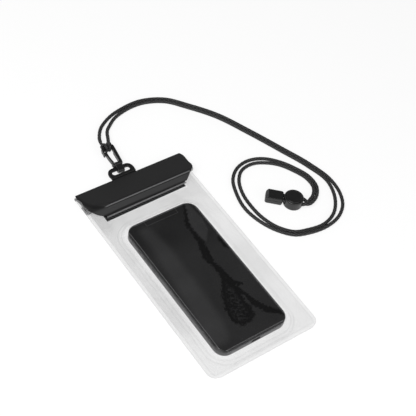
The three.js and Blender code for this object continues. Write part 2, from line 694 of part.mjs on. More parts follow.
const bridgeLow = LOCK_FLOOR + BUTTON_FLOOR_GAP + BUTTON_TRAVEL;
const cordHeight = bridgeLow + BUTTON_BRIDGE + BUTTON_SKIN_GAP + CORD_RADIUS;
const windowTop = cordHeight + CORD_RADIUS + BUTTON_SKIN_GAP + BUTTON_TRAVEL;
const holeRadius = CORD_RADIUS + CORD_HOLE_CLEARANCE;
const wellRadius = LOCK_RADIUS - LOCK_WALL;
const buttonRadius = wellRadius - BUTTON_CLEARANCE;

function alongCord(radius, offset, from, to, height) {
  return rod('x', radius, to - from, (from + to) / 2, offset, height);
}

function latheUp(points, segments = 32) {
  const profile = points.map(([r, z]) => new THREE.Vector2(r, z));
  return new THREE.LatheGeometry(profile, segments).rotateX(Math.PI / 2);
}

function lockBody() {
  const [r, e] = [LOCK_RADIUS, LOCK_EDGE];
  const turn = e * (1 - Math.SQRT1_2);
  const shell = latheUp([
    [0, 0], [r - e, 0], [r - turn, turn], [r, e], [r, LOCK_HEIGHT - e], [r - turn, LOCK_HEIGHT - turn],
    [r - e, LOCK_HEIGHT], [wellRadius, LOCK_HEIGHT], [wellRadius, LOCK_FLOOR], [0, LOCK_FLOOR],
  ]);
  const holes = [-1, 1].map((side) => alongCord(
    holeRadius, side * LOCK_CORD_OFFSET, -LOCK_RADIUS - 1, LOCK_RADIUS + 1, cordHeight));
  return cut(shell, ...holes);
}

function lockButton() {
  const top = LOCK_HEIGHT + BUTTON_LIFT;
  const piston = latheUp([
    [0, bridgeLow], [buttonRadius, bridgeLow], [buttonRadius, top - BUTTON_EDGE],
    [buttonRadius - BUTTON_EDGE, top], [0, top],
  ]);
  const windowHalf = LOCK_CORD_OFFSET + CORD_RADIUS + CORD_HOLE_CLEARANCE;
  const window = box(
    -LOCK_RADIUS, LOCK_RADIUS, -windowHalf, windowHalf, bridgeLow + BUTTON_BRIDGE, windowTop);
  const seatRadius = SPRING_RADIUS + SPRING_WIRE_RADIUS + SPRING_SIDE_GAP;
  const seatTop = windowTop - SPRING_SEAT;
  const springHole = latheUp([[0, 0], [seatRadius, 0], [seatRadius, seatTop], [0, seatTop]], 12);
  return cut(piston, window, springHole);
}

class CoilCurve extends THREE.Curve {
  getPoint(t, target = new THREE.Vector3()) {
    const a = t * SPRING_TURNS * 2 * Math.PI;
    const low = LOCK_FLOOR + SPRING_WIRE_RADIUS + SPRING_END_GAP;
    const high = windowTop - SPRING_WIRE_RADIUS - SPRING_END_GAP;
    return target.set(SPRING_RADIUS * Math.cos(a), SPRING_RADIUS * Math.sin(a), low + t * (high - low));
  }
}

function lockSpring() {
  const section = new THREE.Shape(arc(0, 0, SPRING_WIRE_RADIUS, 0, 288, 4));
  return new THREE.ExtrudeGeometry(section, {
    extrudePath: new CoilCurve(), steps: SPRING_TURNS * 10, bevelEnabled: false });
}

addMesh(lock, 'cord_lock_body', lockBody(), 'plastic');
addMesh(lock, 'cord_lock_button', lockButton(), 'plastic');
addMesh(lock, 'cord_lock_spring', lockSpring(), 'steel');

// Cord end: a base and a lid that clamp both ends of the cord
const endFrom = LOCK_RADIUS + PIECE_GAP;
const endTo = endFrom + END_LENGTH;
const parting = cordHeight - END_PARTING / 2;

function cordEndHalf(z0, z1) {
  const middle = (endFrom + endTo) / 2;
  const outline = roundedRectangle(END_LENGTH, END_WIDTH, END_CORNER, middle, 0);
  const inset = roundedRectangle(
    END_LENGTH - 2 * END_EDGE, END_WIDTH - 2 * END_EDGE, END_CORNER - END_EDGE, middle, 0);
  const isLid = z1 === END_TOP;
  const body = new THREE.ExtrudeGeometry(inset, {
    depth: z1 - z0 - END_EDGE,
    bevelEnabled: true,
    bevelThickness: END_EDGE,
    bevelSize: END_EDGE,
    bevelSegments: 2,
    curveSegments: 4,
  });
  body.translate(0, 0, isLid ? z0 : z0 + END_EDGE);
  const trimmed = common(body, slab(outline, z0, z1, 4));
  const sockets = [-1, 1].map((side) => alongCord(
    holeRadius, side * LOCK_CORD_OFFSET, endFrom - 1, endFrom + END_SOCKET, cordHeight));
  const beyond = endTo + 1;
  const corner = new THREE.Shape([
    new THREE.Vector2(endTo - END_SLANT, END_TOP + 0.1),
    new THREE.Vector2(beyond, parting - END_SLANT_LOW),
    new THREE.Vector2(beyond, END_TOP + 0.1),
  ]);
  const wedge = new THREE.ExtrudeGeometry(corner, { depth: 2 * END_WIDTH, bevelEnabled: false });
  wedge.rotateX(Math.PI / 2).translate(0, END_WIDTH, 0);
  return cut(trimmed, ...sockets, wedge);
}

addMesh(lock, 'cord_end_base', cordEndHalf(END_BOTTOM, parting), 'plastic');
addMesh(lock, 'cord_end_lid', cordEndHalf(parting + END_PARTING, END_TOP), 'plastic');

// Route of the doubled cord on the table, from the hitch to the cord lock: the middle between the two
// strands, and how far each strand lies from it
const REST = CORD_RADIUS + CORD_REST;
const DOUBLED_ROUTE = [
  [2.15, 153.4, 4.7, 2.77],
  [3.7, 157.0, 3.0, 3.4],
  [6.8, 161.3, REST, 3.4],
  [10.5, 165.8, REST, 3.1],
  [15.4, 170.2, REST, 2.9],
  [26.4, 176.7, REST, 2.5],
  [40.3, 180.8, REST, 2.0],
  [62.9, 181.9, REST, 1.95],
  [85.1, 173.3, REST, 1.95],
  [101.0, 156.4, REST, 1.95],
  [118.6, 133.5, REST, 1.95],
  [134.2, 101.6, REST, 1.95],
  [148.8, 67.5, REST, 1.95],
  [160.4, 38.5, REST, 1.95],
  [165.6, 14.5, REST, 2.1],
  [162.0, -2.0, REST, 3.2],
  [155.7, -12.7, REST, 3.6],
  [144.7, -21.7, REST, 2.9],
  [129.0, -26.4, REST, 1.95],
  [110.0, -24.7, REST, 1.95],
  [96.7, -20.3, REST, 1.95],
  [86.6, -10.0, REST, 1.95],
  [78.8, 7.6, REST, 2.7],
  [76.8, 24.1, REST, 3.5],
  [79.8, 42.1, REST, 3.0],
  [86.8, 56.9, REST, 3.0],
  [96.2, 65.1, REST, 2.6],
  [107.1, 68.1, REST, 2.65],
  [116.6, 67.1, REST, 2.7],
  [125.4, 63.1, REST, 2.7],
  [135.4, 54.6, REST, 2.1],
  [144.2, 41.0, REST, 1.95],
  [149.6, 26.0, REST, 1.95],
  [148.4, 14.6, REST, 1.95],
  [142.7, 7.2, 2.3, 1.95],
  [135.3, 2.5, 3.6, 2.1],
];

function lockPoint(along) {
  const a = THREE.MathUtils.degToRad(LOCK_ANGLE);
  return [LOCK_X + along * Math.cos(a), LOCK_Y + along * Math.sin(a)];
}

const stations = [
  ...DOUBLED_ROUTE,
  [...lockPoint(-LOCK_RADIUS - 3.8), cordHeight - 0.3, LOCK_CORD_OFFSET - 0.6],
  [...lockPoint(-LOCK_RADIUS - 0.2), cordHeight, LOCK_CORD_OFFSET],
  [...lockPoint(0), cordHeight, LOCK_CORD_OFFSET],
  [...lockPoint(endFrom + END_SOCKET - 0.5), cordHeight, LOCK_CORD_OFFSET],
];

function strand(side) {
  return stations.map(([x, y, z, half], i) => {
    const before = stations[Math.max(i - 1, 0)];
    const after = stations[Math.min(i + 1, stations.length - 1)];
    const t = new THREE.Vector2(after[0] - before[0], after[1] - before[1]).normalize();
    return new THREE.Vector3(x - side * half * t.y, y + side * half * t.x, z);
  });
}

addMesh(pouch, 'cord_left', tube(strand(1), CORD_RADIUS, stations.length - 1), 'cord');
addMesh(pouch, 'cord_right', tube(strand(-1), CORD_RADIUS, stations.length - 1), 'cord');

export default pouch;
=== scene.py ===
# %% [markdown]
# Waterproof phone pouch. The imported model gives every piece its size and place. This notebook gives each
# piece its fine surface and its finish: the clear film, the black flap and its strips, the phone inside,
# the clip on its tab, and the braided cord with its lock and its end.

import bmesh
import bpy
import numpy as np
from mathutils import Matrix, Vector


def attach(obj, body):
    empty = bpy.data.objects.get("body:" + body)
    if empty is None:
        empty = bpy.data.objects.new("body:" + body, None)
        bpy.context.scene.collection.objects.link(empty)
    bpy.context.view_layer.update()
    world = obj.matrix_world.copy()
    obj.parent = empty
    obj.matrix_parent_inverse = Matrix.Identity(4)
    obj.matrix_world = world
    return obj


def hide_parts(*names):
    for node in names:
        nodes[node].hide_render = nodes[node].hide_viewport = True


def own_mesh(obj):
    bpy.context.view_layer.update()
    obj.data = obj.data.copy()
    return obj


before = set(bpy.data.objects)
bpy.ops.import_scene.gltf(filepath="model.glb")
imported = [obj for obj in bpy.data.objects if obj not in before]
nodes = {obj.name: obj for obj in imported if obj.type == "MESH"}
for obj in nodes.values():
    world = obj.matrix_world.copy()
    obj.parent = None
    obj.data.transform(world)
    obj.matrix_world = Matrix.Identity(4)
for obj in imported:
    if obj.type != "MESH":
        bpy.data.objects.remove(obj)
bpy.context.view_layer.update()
MM = 0.001

# %% [markdown]
# The camera comes first. It looks down from the front left.
# A camera's own axes are its right, up and backward directions: they are worked out from the three
# angles, and become the columns of its matrix.

# %% Camera
AZIMUTH, ELEVATION, ROLL = np.radians([-45.245, 49.224, 13.088])
AIM = np.array([44.835, 42.402, 0.0])
DISTANCE = 953.989
FOCAL_PX = 1057.98
IMAGE_PX = 416
SENSOR = 36.0


def camera_axes(azimuth, elevation, roll):
    """Right, up and back: back points from the aim to the camera, and roll turns the other two about it."""
    flat = np.cos(elevation)
    back = np.array([np.sin(azimuth) * flat, -np.cos(azimuth) * flat, np.sin(elevation)])
    level = np.array([np.cos(azimuth), np.sin(azimuth), 0.0])
    up = np.cross(back, level)
    right = np.cos(roll) * level + np.sin(roll) * up
    return right, np.cross(back, right), back


right, up, back = camera_axes(AZIMUTH, ELEVATION, ROLL)
camera = bpy.data.objects.new("camera", bpy.data.cameras.new("camera"))
bpy.context.scene.collection.objects.link(camera)
camera.data.sensor_width = SENSOR
camera.data.lens = FOCAL_PX / IMAGE_PX * SENSOR
place = (AIM + DISTANCE * back) * MM
turned = np.stack([right, up, back], 1)
camera.matrix_world = Matrix([[*row, p] for row, p in zip(turned, place)] + [[0, 0, 0, 1]])
bpy.context.scene.camera = camera
print("lens", round(camera.data.lens, 2), "mm, place", np.round(place, 3))

# %% [markdown]
# Nearly every piece is a grid of points worked out by a formula, in rows and columns, with a face between
# each four neighbours. One function turns such a grid into a mesh. Columns that close on themselves make
# a tube or a ring, and a row that shrinks to one point makes a pole, which is merged.

# %% Grids to meshes
def link(name, mesh):
    obj = bpy.data.objects.new(name, mesh)
    bpy.context.scene.collection.objects.link(obj)
    return obj


def cleaned(mesh, outward=True):
    """Merges points that coincide, drops faces with no area, and turns the faces outward."""
    b = bmesh.new()
    b.from_mesh(mesh)
    bmesh.ops.remove_doubles(b, verts=b.verts, dist=1e-4 * MM)
    bmesh.ops.dissolve_degenerate(b, edges=b.edges, dist=1e-4 * MM)
    if outward:
        bmesh.ops.recalc_face_normals(b, faces=b.faces)
    b.to_mesh(mesh)
    b.free()


def smooth(mesh, angle=40):
    mesh.polygons.foreach_set("use_smooth", np.ones(len(mesh.polygons), bool))
    mesh.set_sharp_from_angle(angle=np.radians(angle))


def ramp(t):
    """0 below 0, 1 above 1, and 3t^2 - 2t^3 between."""
    t = np.clip(t, 0, 1)
    return t * t * (3 - 2 * t)


def surface(name, points, ring_columns=False, along=None, outward=True, **attributes):
    """A mesh through points[row, column], in millimetres. along gives each row's place down the UV map."""
    rows, columns = points.shape[:2]
    i, j = np.meshgrid(
        np.arange(rows - 1), np.arange(columns if ring_columns else columns - 1), indexing="ij")
    i2, j2 = i + 1, (j + 1) % columns
    faces = np.stack([i * columns + j, i * columns + j2, i2 * columns + j2, i2 * columns + j], -1)
    mesh = bpy.data.meshes.new(name)
    mesh.from_pydata(points.reshape(-1, 3) * MM, [], faces.reshape(-1, 4).tolist())
    if along is not None:
        v = np.append(along, along[-1])
        corners = np.stack([np.stack([j, v[i]], -1), np.stack([j + 1, v[i]], -1),
                            np.stack([j + 1, v[i + 1]], -1), np.stack([j, v[i + 1]], -1)], -2)
        corners = corners * np.array([1 / columns, 1.0])
        mesh.uv_layers.new(name="UVMap").data.foreach_set("uv", corners.astype(np.float32).ravel())
    for title, values in attributes.items():
        layer = mesh.attributes.new(title, "FLOAT", "POINT")
        layer.data.foreach_set("value", values.astype(np.float32).ravel())
    cleaned(mesh, outward)
    smooth(mesh)
    return link(name, mesh)


# %% [markdown]
# The cord is folded in half and lies on the table as two strands side by side. Its route is a list of
# points given down the middle between the strands, each with half the distance between them.
# The last points run through the cord lock into the cord end.

# %% Route of the cord
CORD_RADIUS = 1.75
REST = CORD_RADIUS + 0.05
LOCK = np.array([117.5, 9.6])
LOCK_TURN = np.radians(138)
LOCK_RADIUS = 9.25
LOCK_CORD_OFFSET = 3.3
CORD_HEIGHT = 5.05
END_FROM = LOCK_RADIUS + 0.35
END_SOCKET = 9
ROUTE = [
    [2.12, 151.66, 4.4, 3.91],
    [3.8, 155.1, 3.4, 4.16],
    [6.0, 159.0, 2.3, 4.05],
    [8.55, 163.3, REST, 3.7],
    [12.0, 167.45, REST, 3.4],
    [16.7, 171.0, REST, 3.2],
    [26.4, 176.7, REST, 2.5],
    [40.3, 180.8, REST, 2.0],
    [62.9, 181.9, REST, 1.95],
    [85.1, 173.3, REST, 1.95],
    [101.0, 156.4, REST, 1.95],
    [118.6, 133.5, REST, 1.95],
    [134.2, 101.6, REST, 1.95],
    [148.8, 67.5, REST, 1.95],
    [160.4, 38.5, REST, 1.95],
    [165.6, 14.5, REST, 2.1],
    [162.0, -2.0, REST, 3.2],
    [155.7, -12.7, REST, 3.6],
    [144.7, -21.7, REST, 2.9],
    [129.0, -26.4, REST, 1.95],
    [110.0, -24.7, REST, 1.95],
    [96.7, -20.3, REST, 1.95],
    [86.6, -10.0, REST, 1.95],
    [78.8, 7.6, REST, 2.7],
    [76.8, 24.1, REST, 3.5],
    [79.8, 42.1, REST, 3.0],
    [86.8, 56.9, REST, 3.0],
    [96.2, 65.1, REST, 2.6],
    [107.1, 68.1, REST, 2.65],
    [116.6, 67.1, REST, 2.7],
    [125.4, 63.1, REST, 2.7],
    [135.4, 54.6, REST, 2.1],
    [144.2, 41.0, REST, 1.95],
    [149.6, 26.0, REST, 1.95],
    [148.4, 14.6, REST, 1.85],
    [142.7, 7.2, 2.3, 1.85],
    [135.3, 2.5, 3.6, 1.85],
]
# The solids keep a small gap between the two strands. Here they come together and touch.
CLOSER = 0.17


def lock_point(distance, height, half):
    """A point on the lock's own axis, that far from its middle towards the cord end."""
    x, y = LOCK + distance * np.array([np.cos(LOCK_TURN), np.sin(LOCK_TURN)])
    return [x, y, height, half]


route = np.array(ROUTE + [
    lock_point(-LOCK_RADIUS - 3.8, CORD_HEIGHT - 0.3, 1.9),
    lock_point(-LOCK_RADIUS - 1.8, CORD_HEIGHT - 0.1, 2.4),
    lock_point(-LOCK_RADIUS - 0.2, CORD_HEIGHT, LOCK_CORD_OFFSET),
    lock_point(0, CORD_HEIGHT, LOCK_CORD_OFFSET),
    lock_point(END_FROM + END_SOCKET - 0.5, CORD_HEIGHT, LOCK_CORD_OFFSET),
])
route[:, 3] -= CLOSER


def strand_points(side):
    """The route's points moved sideways by half the distance between the strands, at right angles to it."""
    step = np.gradient(route[:, :2], axis=0)
    step /= np.linalg.norm(step, axis=1, keepdims=True)
    across = np.stack([-step[:, 1], step[:, 0]], 1)
    return np.column_stack([route[:, :2] + side * route[:, 3:] * across, route[:, 2]])


def distances(line):
    """How far along the line each of its points lies."""
    return np.append(0, np.cumsum(np.linalg.norm(np.diff(line, axis=0), axis=1)))


def smooth_line(points, step):
    """A cubic through the points, sampled evenly. Its slope at a point weighs the spans on both sides."""
    span = np.linalg.norm(np.diff(points, axis=0), axis=1)
    slope = np.diff(points, axis=0) / span[:, None]
    inner = (slope[:-1] * span[1:, None] + slope[1:] * span[:-1, None]) / (span[:-1] + span[1:])[:, None]
    slope = np.vstack([slope[:1], inner, slope[-1:]])
    t = np.linspace(0, 1, 40, endpoint=False)[None, :, None]
    h = span[:, None, None]
    a, b = points[:-1, None], points[1:, None]
    line = ((2 * t**3 - 3 * t**2 + 1) * a + (t**3 - 2 * t**2 + t) * h * slope[:-1, None]
            + (3 * t**2 - 2 * t**3) * b + (t**3 - t**2) * h * slope[1:, None]).reshape(-1, points.shape[1])
    line = np.vstack([line, points[-1:]])
    far = distances(line)
    even = np.linspace(0, far[-1], int(far[-1] / step) + 1)
    return np.stack([np.interp(even, far, column) for column in line.T], 1), even


# %% [markdown]
# A braided cord has two sets of yarns that wind round it in opposite senses and pass over and under each
# other. Two numbers say where a point lies between the yarns of each set. A yarn's height is a rounded
# ridge across it, times a wave along it that lifts it over one crossing and sinks it under the next, and
# the surface is the higher of the two sets.

# %% Braided cord
YARNS = 6
BRAID_PITCH = 4.2
BRAID_RELIEF = 0.34
CORD_SIDES = 28


def braid_height(turn, far):
    """0 to 1: ridge = cos(pi f), f = -1/2 to 1/2 across a yarn, lift = (1 + cos(pi (place + yarn))) / 2."""
    u, v = YARNS * turn + far / BRAID_PITCH, YARNS * turn - far / BRAID_PITCH
    i, j = np.floor(u), np.floor(v)
    over_u = 0.5 + 0.5 * np.cos(np.pi * (v - 0.5 + i))
    over_v = 0.5 - 0.5 * np.cos(np.pi * (u - 0.5 + j))
    ridge_u = np.cos(np.pi * (u - i - 0.5)) * (0.3 + 0.7 * over_u)
    ridge_v = np.cos(np.pi * (v - j - 0.5)) * (0.3 + 0.7 * over_v)
    return np.maximum(ridge_u, ridge_v)


def carried_frames(line):
    """Two directions across the line at each point, carried along it so that they never twist."""
    ahead = np.gradient(line, axis=0)
    ahead /= np.linalg.norm(ahead, axis=1, keepdims=True)
    side = np.empty_like(line)
    side[0] = np.cross(ahead[0], [0, 0, 1.0])
    for k in range(1, len(line)):
        side[k] = side[k - 1] - ahead[k] * (ahead[k] @ side[k - 1])
        side[k] /= np.linalg.norm(side[k])
    side[0] /= np.linalg.norm(side[0])
    return side, np.cross(ahead, side)


def braided(name, points, radius, step=0.2):
    """A tube round a smooth line through the points, with the braid's relief, closed at both ends."""
    line, far = smooth_line(points, step)
    wide = np.broadcast_to(radius(far / far[-1]) if callable(radius) else radius, far.shape)
    side, rise = carried_frames(line)
    turn = np.arange(CORD_SIDES) / CORD_SIDES
    height = braid_height(turn[None], far[:, None])
    reach = wide[:, None] - BRAID_RELIEF * (1 - height)
    angle = 2 * np.pi * turn
    out = np.cos(angle)[None, :, None] * side[:, None] + np.sin(angle)[None, :, None] * rise[:, None]
    tube = line[:, None] + reach[..., None] * out
    ends = [np.broadcast_to(line[k], (1, CORD_SIDES, 3)) for k in (0, -1)]
    tube = np.concatenate([ends[0], tube, ends[1]])
    lift = np.concatenate([np.zeros((1, CORD_SIDES)), height, np.zeros((1, CORD_SIDES))])
    along = np.concatenate([far[:1], far, far[-1:]]) * MM
    return surface(name, tube, ring_columns=True, along=along, lift=lift), line


left_points, right_points = strand_points(1), strand_points(-1)
left_cord, left_line = braided("cord_left_braid", left_points, CORD_RADIUS)
right_cord, right_line = braided("cord_right_braid", right_points, CORD_RADIUS)
print("cord", [len(c.data.polygons) for c in (left_cord, right_cord)], "faces")

# %% [markdown]
# The cord's middle is hitched round the clip's end bar: both legs come down behind the bar, pass round it,
# and leave through the loop that closes over them. The points are those of one half in the clip's own
# frame, and the other half is their mirror image.

# %% Hitch
CLIP_PLACE = np.array([0.18856, 143.5303, 4.9])
CLIP_TURN = np.radians(-6.5)
HITCH_RADIUS = 1.3
BAR_RADIUS = 1.5
BAR_GAP = 0.3
WRAP = BAR_RADIUS + BAR_GAP + HITCH_RADIUS
LEG = HITCH_RADIUS + 0.15
LEFT_REACH = 4.0
END_SHARE = 0.06
LEAVES_RIGHT = [3.7, 5.8, -0.4]
LEAVES_LEFT = [-2.95, 6.5, -0.4]
HITCH_RIGHT = [
    [2.3, 4.6, -0.5],
    [1.6, 3.3, -1.4],
    [LEG, 2.1, -2.5],
    [LEG, -0.2, -WRAP],
    [LEG, -2.3, -2.15],
    [LEG, -WRAP, 0],
    [LEG, -2.25, 2.25],
    [LEG, 0, WRAP],
    [LEG + 0.15, 1.9, 2.9],
    [3.2, 3.1, 2.2],
    [4.35, 3.1, 0.5],
    [4.6, 3.6, -1.6],
    [3.1, 4.8, -3.2],
]
BIGHT = [0, 5.3, -3.55]
clip_cos, clip_sin = np.cos(CLIP_TURN), np.sin(CLIP_TURN)
CLIP_AXES = np.array([[clip_cos, clip_sin, 0], [-clip_sin, clip_cos, 0], [0, 0, 1]])


def from_clip(points):
    """Points in the clip's frame turned about Z and moved to the clip's place."""
    return np.asarray(points, float) @ CLIP_AXES + CLIP_PLACE


mirrored = [[-min(x, LEFT_REACH), y, z] for x, y, z in reversed(HITCH_RIGHT)]
turns = [LEAVES_RIGHT, *HITCH_RIGHT, BIGHT, *mirrored, LEAVES_LEFT]
hitch_points = np.vstack([right_points[:1], from_clip(turns), left_points[:1]])


def hitch_radius(share):
    """The free cord's radius at both ends, and slimmer where it is pulled tight between them."""
    near = np.clip(np.minimum(share, 1 - share) / END_SHARE, 0, 1)
    return CORD_RADIUS + (HITCH_RADIUS - CORD_RADIUS) * near


hitch, hitch_line = braided("cord_hitch_braid", hitch_points, hitch_radius)
print("hitch", len(hitch.data.polygons), "faces, length", round(distances(hitch_line)[-1], 1), "mm")

# %% [markdown]
# Small moulded pieces have an even roundness on every edge. Their solids already have the right shape and
# all their slots and holes, so a copy of each is remade of small even faces, and then every point moves
# a few times to the middle of its neighbours, which rounds the edges and leaves the flats. The clip's hook
# is then made a little fuller at its nose and deeper at its eye.

# %% Rounded copies of the moulded pieces
def applied(obj):
    """Makes what the modifiers show the piece's own mesh."""
    ready = obj.evaluated_get(bpy.context.evaluated_depsgraph_get())
    mesh = bpy.data.meshes.new_from_object(ready)
    obj.modifiers.clear()
    obj.data = mesh
    return mesh


def rounded_copy(node, voxel, rounds):
    """A copy of a node's solid with its edges rounded. The radius is about voxel times the root of rounds."""
    obj = link(node + "_moulded", nodes[node].data.copy())
    obj.data.materials.clear()
    obj.modifiers.new("Weld", "WELD").merge_threshold = 1e-4 * MM
    remesh = obj.modifiers.new("Remesh", "REMESH")
    remesh.mode = "VOXEL"
    remesh.voxel_size = voxel * MM
    relax = obj.modifiers.new("Smooth", "SMOOTH")
    relax.factor = 0.5
    relax.iterations = rounds
    smooth(applied(obj), 60)
    return obj


MOULDED = {
    "lanyard_tab": (0.22, 8),
    "clip_hook": (0.2, 8),
    "clip_gate": (0.2, 4),
    "cord_lock_body": (0.3, 6),
    "cord_lock_button": (0.3, 4),
    "cord_end_base": (0.22, 5),
    "cord_end_lid": (0.22, 5),
}
moulded = {node: rounded_copy(node, *how) for node, how in MOULDED.items()}

NOSE_FULLER_OUTSIDE = 1.1
NOSE_FULLER_INSIDE = 1.2
NOSE_WIDE = 1.6
EYE_DEEPER = 0.9
# The nose's inner side in the clip's own frame: it slants outward from its root at the bar
NOSE_INSIDE, NOSE_SLANT = -3.45, 0.41
NOSE_ROOT, NOSE_SLANTED = -1.5, 5
# Where these changes begin there, with the distance over which each comes in
NOSE_FROM, NOSE_OVER = -9, 5
INSIDE_FROM, INSIDE_OVER = -6.3, 1.5
ROOT_FROM, ROOT_OVER = -1.7, 0.5
SIDE_FROM, SIDE_OVER = -3.2, 0.3
EYE_FROM, EYE_OVER = -29.1, 1.2


def fuller_hook(mesh):
    """In the clip's frame: the nose is thicker both ways, and the eye reaches further into the slot."""
    at = np.empty(3 * len(mesh.vertices))
    mesh.vertices.foreach_get("co", at)
    x, y, z = ((at.reshape(-1, 3) / MM - CLIP_PLACE) @ CLIP_AXES.T).T
    nose_inside = NOSE_INSIDE - NOSE_SLANT * np.clip(NOSE_ROOT - y, 0, NOSE_SLANTED)
    outer_share = np.clip((nose_inside - x) / NOSE_WIDE, 0, 1)
    inner = (1 - outer_share) * ramp((y - INSIDE_FROM) / INSIDE_OVER)
    inner *= ramp((SIDE_FROM - x) / SIDE_OVER) * ramp((ROOT_FROM - y) / ROOT_OVER)
    out = NOSE_FULLER_OUTSIDE * outer_share * ramp((y - NOSE_FROM) / NOSE_OVER) - NOSE_FULLER_INSIDE * inner
    down = EYE_DEEPER * ramp((EYE_FROM - y) / EYE_OVER)
    at = from_clip(np.stack([x - out, y - down, z], 1)) * MM
    mesh.vertices.foreach_set("co", at.ravel())
    mesh.update()


fuller_hook(moulded["clip_hook"].data)
print("moulded", {node: len(obj.data.polygons) for node, obj in moulded.items()})

# %% [markdown]
# The lock's spring pushes its button up, and shortens as the button goes down. Its coils are a copy of the
# packed spring with its doubled points merged.

# %% Spring
spring = link("cord_lock_spring_coil", nodes["cord_lock_spring"].data.copy())
cleaned(spring.data)
smooth(spring.data, 60)

# %% [markdown]
# The pouch is two sheets of film. In side view each is a line: flat under or over the phone, then folded
# up and forward, and folded again down and back, so that the mouth is rolled up under the flap. The front
# film also rises over the phone like a tray. Its height depends only on the distance outside the phone's
# rounded outline, so one distance function makes the whole tray.

# %% Pouch sizes
WIDTH = 112.6
LENGTH = 213.8
FILM = 0.4
GAP = 0.25
CORNER = 9
PHONE_SIZE = np.array([71.5, 146.7])
PHONE_THICK = 7.65
PHONE_CORNER = 10.5
PHONE_PLACE = np.array([-3.4, -20.3])
BACK_Y = LENGTH / 2
BACK_Z = FILM / 2
FRONT_Z = FILM + GAP + FILM / 2
PHONE_LOW = FILM + GAP
PHONE_TOP = PHONE_LOW + PHONE_THICK
RISE = PHONE_TOP + GAP + FILM / 2 - FRONT_Z
FOLD_TOP = 2.75
ROLL_TOP = 7.7
ROLL_Y = BACK_Y - 19.7
ROLL_RETURN = 8
MOUTH_OPEN = 2.3
TRAY_FOOT = 8.5


def outside_phone(x, y):
    """Distance to the phone's rounded outline: positive outside it, negative inside."""
    q = np.abs(np.stack([x, y], -1) - PHONE_PLACE) - PHONE_SIZE / 2 + PHONE_CORNER
    return np.linalg.norm(np.maximum(q, 0), axis=-1) + np.minimum(q.max(-1), 0) - PHONE_CORNER


def half_width(y):
    """Half the pouch's width at y: less near the bottom edge, where the corners are round."""
    up = np.clip(y + BACK_Y, 0, CORNER)
    return WIDTH / 2 - CORNER + np.sqrt(CORNER**2 - (CORNER - up) ** 2)


def crowded(low, high, count, places, crowd, reach):
    """count numbers from low to high, closer together near the places: density = 1 + crowd e^-(d/reach)^2."""
    fine = np.linspace(low, high, 4000)
    density = 1 + crowd * sum(np.exp(-(((fine - p) / reach) ** 2)) for p in places)
    share = np.cumsum(density)
    share = (share - share[0]) / (share[-1] - share[0])
    return np.interp(np.linspace(0, 1, count), share, fine)


def waves(x, y, seed, length):
    """Soft irregular waves between about -1 and 1: seven sines of random directions and phases."""
    r = np.random.default_rng(seed)
    total = 0
    for angle, phase, size in zip(r.uniform(0, np.pi, 7), r.uniform(0, 6.28, 7), r.uniform(0.6, 1.6, 7)):
        total = total + np.sin(2 * np.pi * (x * np.cos(angle) + y * np.sin(angle)) * size / length + phase)
    return total / 4


def reach(x, y, line):
    """Distance to a line of (x, y, half width) points, less its half width there: negative inside it."""
    best = np.full(x.shape, 1e3)
    for (ax, ay, aw), (bx, by, bw) in zip(line, line[1:]):
        along = ((x - ax) * (bx - ax) + (y - ay) * (by - ay)) / ((bx - ax) ** 2 + (by - ay) ** 2)
        along = np.clip(along, 0, 1)
        far = np.hypot(x - ax - along * (bx - ax), y - ay - along * (by - ay))
        best = np.minimum(best, far - aw - along * (bw - aw))
    return best


def film_profile(inner):
    """The film's middle line in side view, as (y, z) points: flat, half turn forward, half turn back."""
    shift = FILM + GAP if inner else 0
    low = FRONT_Z if inner else BACK_Z
    first = (FOLD_TOP - BACK_Z) / 2
    a = np.radians(np.linspace(-90, 90, 24))
    start = np.linspace([-BACK_Y, low], [BACK_Y - FILM / 2 - first, low], 900)
    bend = np.stack([BACK_Y - FILM / 2 - first + (first - shift) * np.cos(a),
                     BACK_Z + first + (first - shift) * np.sin(a)], 1)
    turn_low = FRONT_Z + FILM + GAP + (MOUTH_OPEN + FILM if inner else 0)
    turn_top = ROLL_TOP - shift
    half = (turn_top - turn_low) / 2
    b = np.radians(np.linspace(90, 270, 32))
    roll = np.stack([ROLL_Y + half * np.cos(b), turn_top - half + half * np.sin(b)], 1)
    return np.vstack([start, bend, roll, [[ROLL_Y + ROLL_RETURN, turn_low]]])


# %% [markdown]
# The real film is two sheets welded round their edges. The weld is a clear band with a hazier line along
# each side. Each sheet is one grid here, and its haze is stored on its points for the finish to read; it also
# holds painted shade, light and reflections. Where the film clings to the glass, and where painted
# reflections show it standing off, it follows no rule, so these are drawn as lines with a width.

# %% Film sheets
LINE_DISTANCES = (5.5, 8.5)
LINE_WIDE = 0.5
WELD_BAND = 3.2
STRIP_FRONT = 72.7
HAZE_OPEN, HAZE_WELD, HAZE_ON_PHONE = 0.082, 0.055, 0.021
HAZE_ROLLED, HAZE_LEAST = 0.55, 0.008
# Where the film clings to the glass, and where painted reflections lie over the screen (a sheen where it
# stands off it in a soft fold, and a broad soft band): (x, y, half width) points
CLINGS = [
    [(22.5, 51.8, 0.9), (18.7, 42.1, 1.1), (12.8, 32.2, 1.4), (11.9, 22.4, 1.5), (12.2, 9.0, 1.9),
     (9.5, 0.9, 3.0), (7.5, -6.7, 3.8), (7.1, -14.9, 2.0), (8.4, -22.5, 2.6), (8.6, -32.3, 3.4),
     (9.8, -39.0, 3.2), (16.2, -44.6, 0.8)],
    [(5.5, -36.0, 2.5), (3.5, -46.0, 7.0), (0.5, -56.0, 9.0), (-1.5, -65.0, 10.5), (-3.0, -70.0, 9.5)],
    [(-8.5, -72.0, 3.5), (0.0, -76.0, 3.5), (5.5, -74.0, 3.0)],
    [(8.4, -40.0, 2.4), (11.5, -53.0, 2.2), (14.5, -63.5, 2.4), (18.0, -73.5, 2.6), (23.5, -79.6, 2.4),
     (30.0, -86.0, 1.3)],
    [(28.4, 4.0, 1.4), (29.8, -3.2, 2.3), (31.4, -11.0, 1.3)],
]
